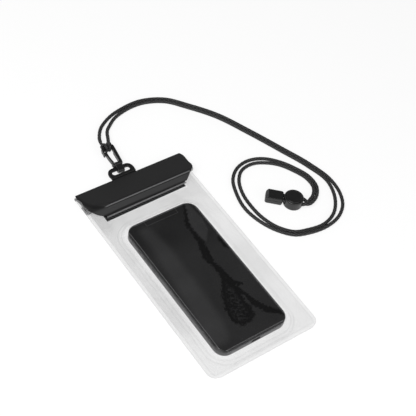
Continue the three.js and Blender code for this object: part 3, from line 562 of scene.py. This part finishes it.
WINDOW = [(11.0, -56.0, 1.2), (10.0, -63.0, 1.8)]
# Painted sheen: a lens-shaped lighter reflection where the film stands off the glass in a soft fold
PAINTED_SHEEN = [(25.0, 51.0, 1.6), (23.0, 41.0, 4.3), (21.5, 31.0, 6.8), (20.0, 20.0, 6.0), (16.0, 8.0, 1.2)]
# Painted reflection: a broad soft lighter band along the film over the screen
PAINTED_REFLECTION_BAND = [
    (-24.6, 40.0, 1.0), (-22.7, 14.2, 3.0), (-24.3, -5.8, 4.0), (-25.8, -25.3, 4.5), (-27.3, -44.3, 5.0),
    (-28.8, -63.0, 5.5), (-32.0, -76.0, 5.0),
]


def bell(distance, wide):
    """1 where the distance is 0, falling off as e^-(distance / wide)^2."""
    return np.exp(-((distance / wide) ** 2))


def film_haze(x, y, flat, front):
    """How much each face of the film veils what is behind it: more along its lines, less over the phone."""
    d = outside_phone(x, y)
    edge = np.minimum(half_width(y) - np.abs(x), y + BACK_Y)
    haze = HAZE_OPEN + 0.014 * waves(x, y, 3, 60) + 0.04 * ramp((y - 48) / 20)
    haze += 0.035 * ramp((-38 - x) / 8) * ramp((y + 70) / 20)
    haze = np.where(edge < WELD_BAND, HAZE_WELD, haze)
    haze += 0.03 * bell(edge, 0.8) + 0.04 * bell(edge - WELD_BAND, LINE_WIDE)
    if front:
        for distance in LINE_DISTANCES:
            haze += 0.045 * bell(d - distance, LINE_WIDE)
        # Painted shade on the tray's wall along the phone's far side, which faces away from the light, and a
        # painted paler halo of light along its other sides
        far_side = ramp((y - PHONE_PLACE[1] - PHONE_SIZE[1] / 2 + 5) / 6)
        far_side = far_side * ramp((31 - np.abs(x - PHONE_PLACE[0])) / 8)
        haze += bell(d - 2.0, 1.8) * (0.14 * far_side - 0.045 * (1 - far_side))
        haze -= 0.11 * bell(y - STRIP_FRONT + 0.7, 0.7) * ramp((43 - np.abs(x)) / 2)
        on_phone = HAZE_ON_PHONE + 0.012 * ramp((35 - y) / 40) + 0.004 * waves(x, y, 8, 50)
        haze = np.where(d < 0, on_phone, haze)
        # Painted reflections over the screen: a broad soft band and a lens-shaped sheen
        haze += np.where(d < -1, 0.032 * ramp(1 - reach(x, y, PAINTED_REFLECTION_BAND) / 9), 0)
        haze += np.where(d < -1, 0.03 * ramp(0.5 - reach(x, y, PAINTED_SHEEN) / 1.2), 0)
    return np.where(flat, np.clip(haze, HAZE_LEAST, 1), HAZE_ROLLED)


def clinging(x, y):
    """Signed distance to the places where the film clings to the glass, less a small window between them."""
    d = np.minimum.reduce([reach(x, y, line) for line in CLINGS])
    return np.maximum(d, -reach(x, y, WINDOW))


def film_sheet(name, inner):
    """The side view's line carried across the pouch's width, with the tray's rise where it is flat."""
    line = film_profile(inner)
    far = distances(line)
    ends = [BACK_Y + PHONE_PLACE[1] + sign * PHONE_SIZE[1] / 2 for sign in (-1, 1)]
    s = crowded(0, far[-1], 250 if inner else 180, ends + [2 * BACK_Y, 2 * BACK_Y + 20], 2.2, 6)
    y, z = (np.interp(s, far, line[:, k])[:, None] for k in (0, 1))
    sides = [(PHONE_PLACE[0] + sign * PHONE_SIZE[0] / 2) / (WIDTH / 2) for sign in (-1, 1)]
    a = crowded(-1, 1, 136 if inner else 60, sides, 2.2, 0.1)[None]
    flat = np.broadcast_to(s[:, None] < 2 * BACK_Y - 2, (len(s), a.size))
    x = a * np.where(flat, half_width(y), WIDTH / 2)
    y = np.broadcast_to(y, x.shape)
    z = np.broadcast_to(z, x.shape).copy()
    d = outside_phone(x, y)
    if inner:
        past = 0.5 * (d - 0.6 + np.sqrt((d - 0.6) ** 2 + 0.25))
        share = (1 - np.clip(past / TRAY_FOOT, 0, 1)) ** 2.2
        lines = sum(0.13 * bell(d - k, LINE_WIDE) for k in LINE_DISTANCES)
        edge = np.minimum(half_width(y) - np.abs(x), y + BACK_Y)
        free = np.clip((edge - 3) / 6, 0, 1) * np.clip((66 - y) / 8, 0, 1) * np.clip(d / 4, 0, 1)
        z += np.where(flat, RISE * share + lines + free * 0.28 * (1 + waves(x, y, 5, 34)), 0)
    points = np.stack([x, y, z], -1)
    cling = clinging(x, y) if inner else np.full(x.shape, 9.0)
    obj = surface(name, points, outward=False, haze=film_haze(x, y, flat, inner), cling=cling)
    thick = obj.modifiers.new("Solidify", "SOLIDIFY")
    thick.thickness = FILM * MM
    thick.offset = 0
    return obj


front_film = film_sheet("front_film_sheet", True)
back_film = film_sheet("back_film_sheet", False)
print("film", len(front_film.data.polygons), len(back_film.data.polygons), "faces")

# %% [markdown]
# The flap is one stiff coated sheet, bent along a crease. Its heading turns from the slope of the top
# panel to that of the front panel over a short stretch, and summing the heading's cosine and sine along
# the sheet gives its side view. At its left end the bend is wide and soft, as the sheet bulges there, and
# a shallow fold runs from its side edge to the crease. A narrow welded ridge runs just below the crease,
# between two grooves. Each side edge is a smooth line through a few points.

# %% Closing flap
FLAP = 1.0
FLAP_BACK_Z = 4.5
FLAP_CREASE = np.array([BACK_Y - 24.4, 9.5])
FLAP_LOW = np.array([FLAP_CREASE[0] - 6.4, 4.6])
BEND_WIDTH = 2.6
SOFT_BEND_WIDTH = 14.0
RIDGE_DOWN = 1.1
RIDGE_FROM, RIDGE_TO = -42, 51
RIDGE_HEIGHT, GROOVE_DEPTH, FOLD_DEPTH = 0.34, 0.3, 0.45
# (distance down the sheet, distance from the middle) points along each side edge
LEFT_EDGE = [
    (0, 55.5), (1.5, 55.8), (8, 54.8), (17, 56.0), (23.5, 55.0), (27.5, 52.2), (30.5, 48.8), (33.2, 44.0)]
RIGHT_EDGE = [
    (0, 56.0), (0.5, 56.3), (16, 56.3), (20.5, 56.2), (23, 55.2), (25.3, 52.4), (29, 48.2), (33.2, 43.4)]
# (x, distance down the sheet, half width) points along the soft fold at the left end
SOFT_FOLD = [(-55.5, 4.0, 0.3), (-54.4, 15.0, 0.8), (-50.5, 21.6, 1.2), (-42.0, 25.2, 0.3)]


def edge_line(points, s):
    """How far from the middle the side edge lies at each distance s down the sheet."""
    line, _ = smooth_line(np.array(points, float), 0.1)
    return np.interp(s, line[:, 0], line[:, 1])


def flap():
    """Rows run down the sheet from its back edge, columns across it."""
    top = FLAP_CREASE - [BACK_Y, FLAP_BACK_Z]
    front = FLAP_LOW - FLAP_CREASE
    crease, end = np.linalg.norm(top), np.linalg.norm(top) + np.linalg.norm(front)
    s = crowded(0, end, 130, [crease + RIDGE_DOWN], 6, 3)[:, None]
    a = crowded(-1, 1, 240, [-1], 1, 0.2)[None]
    x = a * np.where(a < 0, edge_line(LEFT_EDGE, s), edge_line(RIGHT_EDGE, s))
    wide = BEND_WIDTH + (SOFT_BEND_WIDTH - BEND_WIDTH) * ramp((-32 - x) / 22)
    slopes = np.arctan2(top[1], -top[0]), np.arctan2(front[1], -front[0])
    heading = slopes[0] + (slopes[1] - slopes[0]) * ramp((s - crease) / wide + 0.5)
    step = np.diff(s, axis=0, prepend=0)
    y = BACK_Y - np.cumsum(np.cos(heading) * step, axis=0)
    z = FLAP_BACK_Z + np.cumsum(np.sin(heading) * step, axis=0)
    off = np.abs(s - crease - RIDGE_DOWN)
    shown = ramp((x - RIDGE_FROM) / 4) * ramp((RIDGE_TO - x) / 2)
    ridge = bell(off, 0.28) * shown
    groove = bell(off - 0.95, 0.42) * shown
    fold = bell(np.maximum(reach(x, s + 0 * x, SOFT_FOLD), 0), 1.3)
    # Masks for painted light and shade: the cut edge, the grooves and the fold are painted in shade, and the
    # front panel is painted lighter as the face that meets the light
    cut_edge = ramp(1 - (end - s) / 1.7) + 0 * x
    panel = ramp((s - crease) / 3) + 0 * x
    relief = RIDGE_HEIGHT * ridge - GROOVE_DEPTH * groove - FOLD_DEPTH * fold
    points = np.stack([x, y + np.sin(heading) * relief, z + np.cos(heading) * relief], -1)
    obj = surface("closure_flap_sheet", points, outward=False, ridge=ridge, panel=panel,
                  dark=np.maximum.reduce([0.95 * groove, 0.7 * fold, cut_edge]))
    thick = obj.modifiers.new("Solidify", "SOLIDIFY")
    thick.thickness = FLAP * MM
    thick.offset = 0
    bevel = obj.modifiers.new("Bevel", "BEVEL")
    bevel.width = 0.25 * MM
    bevel.segments = 2
    bevel.limit_method = "ANGLE"
    bevel.angle_limit = np.radians(60)
    return obj


closure = flap()
print("flap", len(closure.data.polygons), "faces")

# %% [markdown]
# Two strips hold the flap down: a ribbed hook strip on the film, and a smooth loop strip under the flap's
# edge. Only their front edges show. The hook strip's top is a height over a flat grid, with slanting ribs.

# %% Hook and loop strips
STRIP_HALF = 42.25
STRIP_WIDTH = 11
HOOK_FRONT = FLAP_LOW[0] - 3.4
LOOP_FRONT = FLAP_LOW[0] - 1.5
# The front edges of both strips lean a little forward towards their left ends
HOOK_LEAN, LOOP_LEAN = 1.5, 1.1
HOOK_MIDDLE = -1.7
HOOK_LOW, HOOK_TOP = 1.3, 2.6
LOOP_LOW, LOOP_TOP = 2.85, 3.85
RIB_PITCH = 3.3
RIB_DEPTH = 0.6
STRIP_ROUND = 0.45


def strip(name, middle, front, lean, low, top, relief, height):
    """A rounded slab: its edges sink by a quarter circle, and height(x, y) from 0 to 1 lowers its top."""
    back_y = HOOK_FRONT + STRIP_WIDTH
    x, share = np.meshgrid(np.linspace(-STRIP_HALF, STRIP_HALF, 420), np.linspace(0, 1, 46))
    front = front - lean * (0.5 - 0.5 * x / STRIP_HALF)
    y = front + (back_y - front) * share
    edge = np.minimum(np.minimum(y - front, back_y - y), STRIP_HALF - np.abs(x))
    x = x + middle
    sink = STRIP_ROUND - np.sqrt(np.maximum(STRIP_ROUND**2 - np.maximum(STRIP_ROUND - edge, 0) ** 2, 0))
    z = top - sink - relief * (1 - height(x, y)) * np.clip(edge / 0.4, 0, 1)
    under = np.stack([x, y, np.full(x.shape, low)], -1)
    over = np.stack([x, y, z], -1)
    rim = [np.concatenate([g[0], g[1:, -1], g[-1, -2::-1], g[-2:0:-1, 0]]) for g in (over, under)]
    parts = [surface(name, over, outward=False), surface(name + "_under", under[::-1], outward=False),
             surface(name + "_rim", np.stack(rim), ring_columns=True, outward=False)]
    joined = bmesh.new()
    for part in parts:
        joined.from_mesh(part.data)
    bmesh.ops.remove_doubles(joined, verts=joined.verts, dist=1e-4 * MM)
    bmesh.ops.recalc_face_normals(joined, faces=joined.faces)
    joined.to_mesh(parts[0].data)
    joined.free()
    for part in parts[1:]:
        bpy.data.objects.remove(part)
    smooth(parts[0].data)
    return parts[0]


def ribs(x, y):
    """Ridges across the strip that lean to one side: a cosine of x + 0.8 y, sharpened a little."""
    return (0.5 + 0.5 * np.cos(2 * np.pi * (x + 0.8 * y) / RIB_PITCH)) ** 0.8


hook_strip = strip(
    "hook_strip_ribbed", HOOK_MIDDLE, HOOK_FRONT, HOOK_LEAN, HOOK_LOW, HOOK_TOP, RIB_DEPTH, ribs)
loop_strip = strip("loop_strip_napped", 0, LOOP_FRONT, LOOP_LEAN, LOOP_LOW, LOOP_TOP, 0.0, ribs)
print("strips", len(hook_strip.data.polygons), len(loop_strip.data.polygons), "faces")

# %% [markdown]
# The phone is a plain one. Its metal body is a profile carried round the rounded outline: every point of
# the outline has a direction outward, and the profile says how far out and how high each ring lies. Its
# side buttons are closed pills that stand out a little, and its port is the same shape cut into its end.

# %% Phone
ARC_STEPS = 24
OUTLINE_POINTS = 4 * ARC_STEPS


def outline(inset):
    """Points round the phone's outline, inset by so much, corner by corner."""
    a = np.radians(np.linspace(0, 90, ARC_STEPS))
    arcs = [a + k * np.pi / 2 for k in range(4)]
    signs = [(1, 1), (-1, 1), (-1, -1), (1, -1)]
    middle = PHONE_SIZE / 2 - PHONE_CORNER
    directions = np.concatenate([np.stack([np.cos(q), np.sin(q)], 1) for q in arcs])
    centres = np.repeat(np.array(signs) * middle, ARC_STEPS, axis=0) + PHONE_PLACE
    return centres + (PHONE_CORNER - inset) * directions


def slab_rings(name, profile):
    """A closed slab: rings of the outline at each (inset, height) of the profile, closed to a point."""
    rings = [np.column_stack([outline(inset), np.full(OUTLINE_POINTS, z)]) for inset, z in profile]
    low, high = ([[*PHONE_PLACE, z]] * OUTLINE_POINTS for z in (profile[0][1], profile[-1][1]))
    return surface(name, np.array([low, *rings, high]), ring_columns=True)


def quarter(inset, z, radius, from_deg, to_deg, steps=6):
    """(inset, height) points on an arc round a centre that lies so far in, used for a rounded edge."""
    a = np.radians(np.linspace(from_deg, to_deg, steps))
    return [(inset - radius * c, z + radius * s) for c, s in zip(np.cos(a), np.sin(a))]


SCREEN = 0.7
BODY_TOP = PHONE_TOP - SCREEN - 0.1
EDGE = 0.8
body_profile = (
    [(6, PHONE_LOW)] + quarter(EDGE, PHONE_LOW + EDGE, EDGE, -90, 0)
    + quarter(EDGE / 2, BODY_TOP - EDGE / 2, EDGE / 2, 0, 90) + [(6, BODY_TOP)])
screen_profile = (
    [(6, PHONE_TOP - SCREEN), (0.75, PHONE_TOP - SCREEN)]
    + quarter(0.6 + 0.55, PHONE_TOP - 0.55, 0.55, 0, 90) + [(6, PHONE_TOP)])
phone_body = slab_rings("phone_frame", body_profile)
phone_screen = slab_rings("phone_glass", screen_profile)

BUTTONS = [(48.5, 5.5), (36.5, 10.5), (23.5, 10.5)]
BUTTON_WIDTH = 2.6
BUTTON_PROUD = 0.35
PORT_WIDTH = 9
PORT_HEIGHT = 3
PORT_DEPTH = 4
MIDDLE_Z = (PHONE_LOW + BODY_TOP) / 2
LEFT_SIDE, BOTTOM_EDGE = PHONE_PLACE - PHONE_SIZE / 2
ALONG_X, ALONG_Y, ALONG_Z = np.eye(3)


def pill(name, centre, ahead, outward, length, width, rings):
    """A closed pill. Each ring is a stadium outline, grown by so much, that far out of the centre."""
    a = np.radians(np.linspace(0, 360, 48, endpoint=False))[:, None]
    half = width / 2
    straight = np.sign(np.cos(a)) * (length / 2 - half)
    made = []
    for grow, out in [(-half, rings[0][1]), *rings, (-half, rings[-1][1])]:
        lengthways = (straight + (half + grow) * np.cos(a)) * ahead
        made.append(centre + lengthways + (half + grow) * np.sin(a) * ALONG_Z + out * outward)
    return surface(name, np.array(made), ring_columns=True)


def cut_from(obj, tool):
    """Cuts the tool's shape out of the piece, and removes the tool."""
    boolean = obj.modifiers.new("Cut", "BOOLEAN")
    boolean.operation = "DIFFERENCE"
    boolean.object = tool
    smooth(applied(obj))
    bpy.data.objects.remove(tool)


BUTTON_SUNK = 0.6
BUTTON_EDGE = 0.15
button_rings = [(0, -BUTTON_SUNK), (0, BUTTON_PROUD - BUTTON_EDGE), (-BUTTON_EDGE, BUTTON_PROUD)]
buttons = [
    pill("phone_button", np.array([LEFT_SIDE, PHONE_PLACE[1] + y, MIDDLE_Z]), ALONG_Y, -ALONG_X, length,
         BUTTON_WIDTH, button_rings)
    for y, length in BUTTONS]
port = pill("port", np.array([PHONE_PLACE[0], BOTTOM_EDGE, MIDDLE_Z]), ALONG_X, -ALONG_Y, PORT_WIDTH,
            PORT_HEIGHT, [(0, -PORT_DEPTH), (0, PORT_DEPTH)])
cut_from(phone_body, port)
print("phone", len(phone_body.data.polygons), len(phone_screen.data.polygons), "faces")

# %% [markdown]
# Every finish is made of shader nodes. To keep the node trees readable, a small class stands for one
# output of a node: adding or multiplying two of them puts in the Math node, and node() adds any other.

# %% Shader expressions
class Out:
    """One output socket. Arithmetic on it gives the output of a new Math node."""

    def __init__(self, tree, socket):
        self.tree = tree
        self.socket = socket

    def node(self, kind, inputs=(), output=0, **settings):
        """Adds a node, sets its settings, then fills its inputs by name or number."""
        made = self.tree.nodes.new(kind)
        for name, value in settings.items():
            setattr(made, name, value)
        for name, value in dict(inputs).items():
            if isinstance(value, Out):
                self.tree.links.new(value.socket, made.inputs[name])
            else:
                made.inputs[name].default_value = value
        return Out(self.tree, made.outputs[output])

    def maths(self, operation, *values):
        return self.node("ShaderNodeMath", dict(enumerate(values)), operation=operation)

    def __add__(self, other):
        return self.maths("ADD", self, other)

    __radd__ = __add__

    def __mul__(self, other):
        return self.maths("MULTIPLY", self, other)

    __rmul__ = __mul__

    def __sub__(self, other):
        return self.maths("SUBTRACT", self, other)

    def __rsub__(self, other):
        return self.maths("SUBTRACT", other, self)

    def __truediv__(self, other):
        return self.maths("DIVIDE", self, other)

    def absolute(self):
        return self.maths("ABSOLUTE", self)

    def most(self, other):
        return self.maths("MAXIMUM", self, other)

    def range(self, low, high, to_low=0.0, to_high=1.0):
        """Maps low..high smoothly to to_low..to_high, and holds it there outside."""
        return self.node("ShaderNodeMapRange", {0: self, 1: low, 2: high, 3: to_low, 4: to_high},
                         interpolation_type="SMOOTHSTEP")

    def grey(self):
        """The number as a grey colour, through a Mix node between black and white."""
        return self.node("ShaderNodeMix", {0: self, 6: (0, 0, 0, 1), 7: (1, 1, 1, 1)}, 2, data_type="RGBA")

    def noise(self, scale, detail=3.0, rough=0.55, distort=0.0):
        """Noise from 0 to 1 at this position, with scale cells to the metre."""
        return self.node("ShaderNodeTexNoise", {
            "Vector": self, "Scale": scale, "Detail": detail, "Roughness": rough, "Distortion": distort})

    def part(self, axis):
        """One coordinate of a position: 0, 1 or 2."""
        return self.node("ShaderNodeSeparateXYZ", {0: self}, axis)

    def attribute(self, name):
        """A number that is stored on the mesh's points."""
        return self.node("ShaderNodeAttribute", output=2, attribute_name=name)


def finish(name, **fixed):
    """A material with one Principled shader, and a position to start expressions from."""
    material = bpy.data.materials.new(name)
    material.use_nodes = True
    tree = material.node_tree
    shader = tree.nodes["Principled BSDF"]
    for socket, value in fixed.items():
        shader.inputs[socket.replace("_", " ")].default_value = value
    place = tree.nodes.new("ShaderNodeTexCoord").outputs["Object"]
    return material, shader, Out(tree, place)


def drive(shader, socket, value):
    value.tree.links.new(value.socket, shader.inputs[socket])


def emboss(shader, height, distance, strength=1.0):
    """Feeds a height from 0 to 1 through a Bump node; distance is its size in millimetres."""
    bump = height.node("ShaderNodeBump", {
        "Strength": strength, "Distance": distance * MM, "Height": height})
    drive(shader, "Normal", bump)


def shade_between(shader, amount, low, high):
    """Base Color from one grey to another as amount goes from 0 to 1."""
    mix = amount.node("ShaderNodeMix", {0: amount, 6: (*low, 1), 7: (*high, 1)}, 2, data_type="RGBA")
    drive(shader, "Base Color", mix)


def even(level):
    return (level, level, level * 1.02)


# %% [markdown]
# The film hides a little of what is behind it at each of its faces. How much is stored on its points: more
# along its welds and edges, and less where it is stretched over the phone. Over the screen it shows where
# it touches the glass: there is no air between them there, so it is darker, in a long ragged patch.

# %% Film finish
def film_finish():
    material, shader, p = finish("clear_film", Base_Color=(0.3, 0.3, 0.305, 1), Roughness=0.22)
    haze, cling = p.attribute("haze"), p.attribute("cling")
    ragged = p.noise(260, 4, 0.7, 1.6)
    wet = (cling - 0.5 + 12.0 * (ragged - 0.5)).range(-0.3, 0.3, 1.0, 0.0)
    specks = p.noise(520, 3).range(0.47, 0.6) * cling.range(-6.0, -1.5, 1.0, 0.0)
    smear = 0.75 + 0.5 * p.noise(60, 4, 0.6, 0.5)
    drive(shader, "Alpha", haze * smear * (1 - wet * (1 - 0.8 * specks)))
    drive(shader, "Roughness", 0.12 + 0.2 * p.noise(60))
    emboss(shader, p.noise(120, 2), 0.12)
    return material


def track_finish():
    """The press-to-close tracks are thicker and milkier than the film that they are welded to."""
    material, shader, p = finish("milky_track", Base_Color=(0.5, 0.5, 0.51, 1), Roughness=0.3)
    drive(shader, "Alpha", 0.35 + 0.15 * p.noise(300, 3))
    emboss(shader, p.noise(900, 2), 0.03)
    return material


# %% [markdown]
# The black pieces differ in grain and gloss. The coated flap is matt with a fine leathery grain, the
# moulded clip and lock are smooth with a faint satin, and the strips are textile.

# %% Black finishes
def coated_finish():
    """Welding left the ridge smoother, and it has a painted highlight. The front panel is painted lighter,
    as the face that meets the light, and painted shade darkens the grooves, the fold and the cut edge.
    """
    material, shader, p = finish("coated_sheet", Specular_IOR_Level=0.3)
    grain = p.noise(1500, 3)
    broad = p.noise(45, 3)
    ridge, dark, panel = p.attribute("ridge"), p.attribute("dark"), p.attribute("panel")
    # Painted light on the front panel, and painted shade in the grooves, the fold and the cut edge
    plain = (0.03 + 0.12 * panel + 0.04 * grain + 0.04 * broad) * (1 - 0.9 * dark)
    # Painted highlight along the ridge
    shade_between(shader, plain.most(0.75 * ridge), even(0.001), even(0.2))
    drive(shader, "Roughness", 0.5 + 0.2 * broad - 0.22 * ridge)
    emboss(shader, grain, 0.05)
    return material


def moulded_finish(name, level, rough, specular):
    material, shader, p = finish(name, Specular_IOR_Level=specular)
    grain = p.noise(3500, 2)
    broad = p.noise(160, 3)
    shade_between(shader, broad, even(level * 0.8), even(level * 1.25))
    drive(shader, "Roughness", rough + 0.12 * (broad - 0.5))
    emboss(shader, grain, 0.012)
    return material


def rib_tops(p):
    """1 on the ribs, which lie along x + 0.8 y, and 0 between them: painted light on top, painted shade
    between.
    """
    place = (p.part(0) + 0.8 * p.part(1)) * (2 * np.pi / (RIB_PITCH * MM))
    return place.maths("COSINE", place).range(-0.4, 0.8)


def lit_front_edge(p):
    """1 along the loop strip's folded front edge, painted lighter where it meets the light, and 0 behind, in
    painted shade.
    """
    front = LOOP_FRONT - LOOP_LEAN / 2 + LOOP_LEAN / 2 / STRIP_HALF * p.part(0) / MM
    return (p.part(1) / MM - front).range(0.8, 1.1, 1.0, 0.0)


def strip_finish(name, level, cells, depth, light):
    """Textile: fibres are painted lit where light(position) is 1, and painted nearly black shade where it is
    0.
    """
    material, shader, p = finish(name, Roughness=0.9)
    fibre = p.noise(cells, 4, 0.7)
    shade_between(shader, (0.4 + 0.6 * fibre) * light(p), even(level * 0.1), even(level * 1.6))
    emboss(shader, fibre, depth)
    return material


def cord_finish():
    """Fine yarn lines follow the cord's own UV map. Yarn tops have a painted highlight, sunk places painted
    shade.
    """
    material, shader, p = finish("braided_cord", Roughness=0.6, Specular_IOR_Level=0.4)
    lift = p.attribute("lift")
    uv = p.node("ShaderNodeUVMap", uv_map="UVMap")
    fibre = p.noise(5200, 3)
    phase = uv.part(0) * (YARNS * 8 * np.pi) + uv.part(1) * (5200 * np.pi / 4)
    line = phase.maths("SINE", phase)
    # Painted highlight on the yarn tops and painted shade in the sunk places between them
    shade_between(shader, (lift * 0.8 + 0.2 * fibre).range(0.5, 0.95), even(0.001), even(0.11))
    emboss(shader, 0.5 * fibre + 0.12 * line, 0.06)
    return material


def steel_finish():
    material, shader, p = finish("bright_steel", Metallic=1.0)
    fine = p.noise(2500, 2)
    shade_between(shader, fine, even(0.5), even(0.66))
    drive(shader, "Roughness", 0.22 + 0.15 * fine)
    return material


# %% [markdown]
# The phone's frame is satin metal with a dark band across it near each end, and a painted reflection makes
# it lighter at its foot than at its top edge. The screen is off: nearly black glass with a thin outline and a
# painted highlight along its rim. The bands and the screen are worked out from the distance to the phone's
# middle, and the frame's painted reflection from the height.

# %% Phone finishes
BAND_FROM_MIDDLE = 60
LIT_HALF_WIDTH, LIT_HALF_LENGTH = 34.4, 72.0
CUT_OUT_HALF, CUT_OUT_FROM = 16.4, 66.3


def metal_finish():
    material, shader, p = finish("phone_metal", Metallic=0.9)
    fine = p.noise(3000, 2)
    from_band = (p.part(1) / MM - float(PHONE_PLACE[1])).absolute() - BAND_FROM_MIDDLE
    band = from_band.absolute().range(0.5, 0.7, 1.0, 0.0)
    # Painted reflection: the frame is lighter low down and darker towards its top edge
    painted_foot_light = (p.part(2) / MM).range(4.6, 6.4, 1.0, 0.25)
    shade_between(shader, (0.3 * fine + 0.7 * (1 - band)) * painted_foot_light, even(0.02), even(0.12))
    drive(shader, "Roughness", 0.28 + 0.12 * fine)
    return material


def glass_finish():
    """Near black, with the thin outline of the lit area and its cut-out at the end by the pouch's mouth."""
    material, shader, p = finish("phone_glass", Specular_IOR_Level=0.35)
    x = (p.part(0) / MM - float(PHONE_PLACE[0])).absolute()
    y = p.part(1) / MM - float(PHONE_PLACE[1])
    border = (x - LIT_HALF_WIDTH).most(y.absolute() - LIT_HALF_LENGTH)
    cut_out = (x - CUT_OUT_HALF).most(CUT_OUT_FROM - y)
    line = cut_out.absolute().range(0.15, 0.4, 1.0, 0.0) * border.range(-1.0, -0.6, 1.0, 0.0)
    # Painted highlight along the glass's rim
    rim = (border + 0.3).absolute().range(0.25, 0.6, 1.0, 0.0)
    smear = p.noise(40, 4, 0.6, 0.4)
    shade_between(shader, 0.04 * smear + 0.25 * line + 0.8 * rim, even(0.005), even(0.11))
    drive(shader, "Roughness", 0.08 + 0.1 * smear)
    return material


# %% [markdown]
# Each finish is made once and shared by the pieces of that material. A piece also says which solid it
# stands for, which material slot it has, and which body it moves with.

# %% Finish and place every piece
film = film_finish()
track = track_finish()
coated = coated_finish()
rubber = moulded_finish("satin_rubber", 0.008, 0.42, 0.4)
plastic = moulded_finish("satin_plastic", 0.009, 0.3, 0.6)
cord = cord_finish()
# The hook tape has painted light on its rib tops and painted shade between them
hooks = strip_finish("hook_tape", 0.03, 2600, 0.1, rib_tops)
# The loop tape has painted light on its front edge and painted shade under the flap
loops = strip_finish("loop_tape", 0.17, 3200, 0.05, lit_front_edge)
steel = steel_finish()
metal = metal_finish()
glass = glass_finish()


for number, one in enumerate(buttons):
    one.name = f"phone_button_{number + 1}"
PLACED = [
    (front_film, film, "film", "front_film"),
    (back_film, film, "film", "back_film"),
    (closure, coated, "coated_fabric", "closure_flap"),
    (hook_strip, hooks, "hook_tape", "hook_strip"),
    (loop_strip, loops, "loop_tape", "loop_strip"),
    (phone_body, metal, "phone_metal", "phone_body"),
    (phone_screen, glass, "phone_glass", "phone_screen"),
    *[(one, metal, "phone_metal", "phone_body") for one in buttons],
    (moulded["lanyard_tab"], rubber, "black_rubber", "lanyard_tab"),
    *[(moulded[node], plastic, "black_plastic", node) for node in MOULDED if node != "lanyard_tab"],
    (left_cord, cord, "braided_cord", "cord_left"),
    (right_cord, cord, "braided_cord", "cord_right"),
    (hitch, cord, "braided_cord", "cord_hitch"),
    (spring, steel, "steel", "cord_lock_spring"),
]
MOVING = {"clip_gate": "gate", "cord_lock_button": "lock_button"}
for obj, material, slot, replaced in PLACED:
    obj.data.materials.clear()
    obj.data.materials.append(material)
    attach(obj, MOVING.get(replaced, "pouch"))
    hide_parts(replaced)
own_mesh(spring)

# Solids that are shown as they are
KEPT = {
    "mouth_track_ribs": track,
    "mouth_track_channels": track,
    "mouth_stiffener": rubber,
    "clip_gate_pin": steel,
}
for node, material in KEPT.items():
    nodes[node].data.materials.clear()
    nodes[node].data.materials.append(material)

end_nodes = ("cord_end_base", "cord_end_lid", "cord_lock_body", "cord_lock_button")
end_pieces = [moulded[node] for node in end_nodes] + [spring]
strands = ((left_cord, left_line, end_pieces + [hitch]), (right_cord, right_line, end_pieces))
for piece, line, extra in strands:
    line[0] * MM
    line * MM

# %% [markdown]
# The pouch lies on a white surface in soft light. The floor adds light of its own only to rays from the
# camera and to reflections, so it looks white and still keeps the object's soft shadow. The world is
# bright near the horizon and darker overhead, which leaves the flat tops dark and lights the edges.

# %% Floor and light
def studio():
    bpy.ops.mesh.primitive_plane_add(size=8, location=(AIM[0] * MM, AIM[1] * MM, 0))
    floor = bpy.context.object
    floor.name = "floor"
    material = bpy.data.materials.new("floor_white")
    material.use_nodes = True
    tree = material.node_tree
    tree.nodes.clear()
    path = tree.nodes.new("ShaderNodeLightPath")
    seen = Out(tree, path.outputs["Is Camera Ray"]).most(Out(tree, path.outputs["Is Glossy Ray"])).most(
        Out(tree, path.outputs["Is Transmission Ray"]))
    diffuse = seen.node("ShaderNodeBsdfDiffuse", {"Color": (0.8, 0.8, 0.8, 1)})
    dim = seen.node("ShaderNodeBsdfDiffuse", {"Color": (0.3, 0.3, 0.3, 1)})
    glow = seen.node("ShaderNodeEmission", {"Color": (1, 1, 1, 1), "Strength": 0.78})
    shown = seen.node("ShaderNodeAddShader", {0: dim, 1: glow})
    mixed = seen.node("ShaderNodeMixShader", {0: seen, 1: diffuse, 2: shown})
    tree.links.new(mixed.socket, tree.nodes.new("ShaderNodeOutputMaterial").inputs[0])
    floor.data.materials.append(material)

    world = bpy.data.worlds.new("studio")
    bpy.context.scene.world = world
    world.use_nodes = True
    tree = world.node_tree
    background = tree.nodes["Background"]
    direction = Out(tree, tree.nodes.new("ShaderNodeTexCoord").outputs["Generated"])
    level = direction.part(2).range(0.05, 0.7, 0.85, 0.1)
    camera_ray = Out(tree, tree.nodes.new("ShaderNodeLightPath").outputs["Is Camera Ray"])
    shade = (level * (1 - camera_ray) + camera_ray).grey()
    tree.links.new(shade.socket, background.inputs["Color"])


def softbox(name, azimuth, elevation, distance, size, power):
    """A square area lamp that far from the aim, pointing at it."""
    a, e = np.radians([azimuth, elevation])
    back_to = Vector((np.sin(a) * np.cos(e), -np.cos(a) * np.cos(e), np.sin(e)))
    lamp = bpy.data.lights.new(name, "AREA")
    lamp.size = size
    lamp.energy = power
    obj = bpy.data.objects.new(name, lamp)
    bpy.context.scene.collection.objects.link(obj)
    obj.location = Vector(AIM * MM) + back_to * distance
    obj.rotation_euler = back_to.to_track_quat("Z", "Y").to_euler()
    return obj


studio()
softbox("key", -75, 55, 1.2, 0.8, 9)
softbox("fill", 10, 35, 1.4, 0.9, 4)
bpy.context.scene.view_settings.view_transform = "Standard"
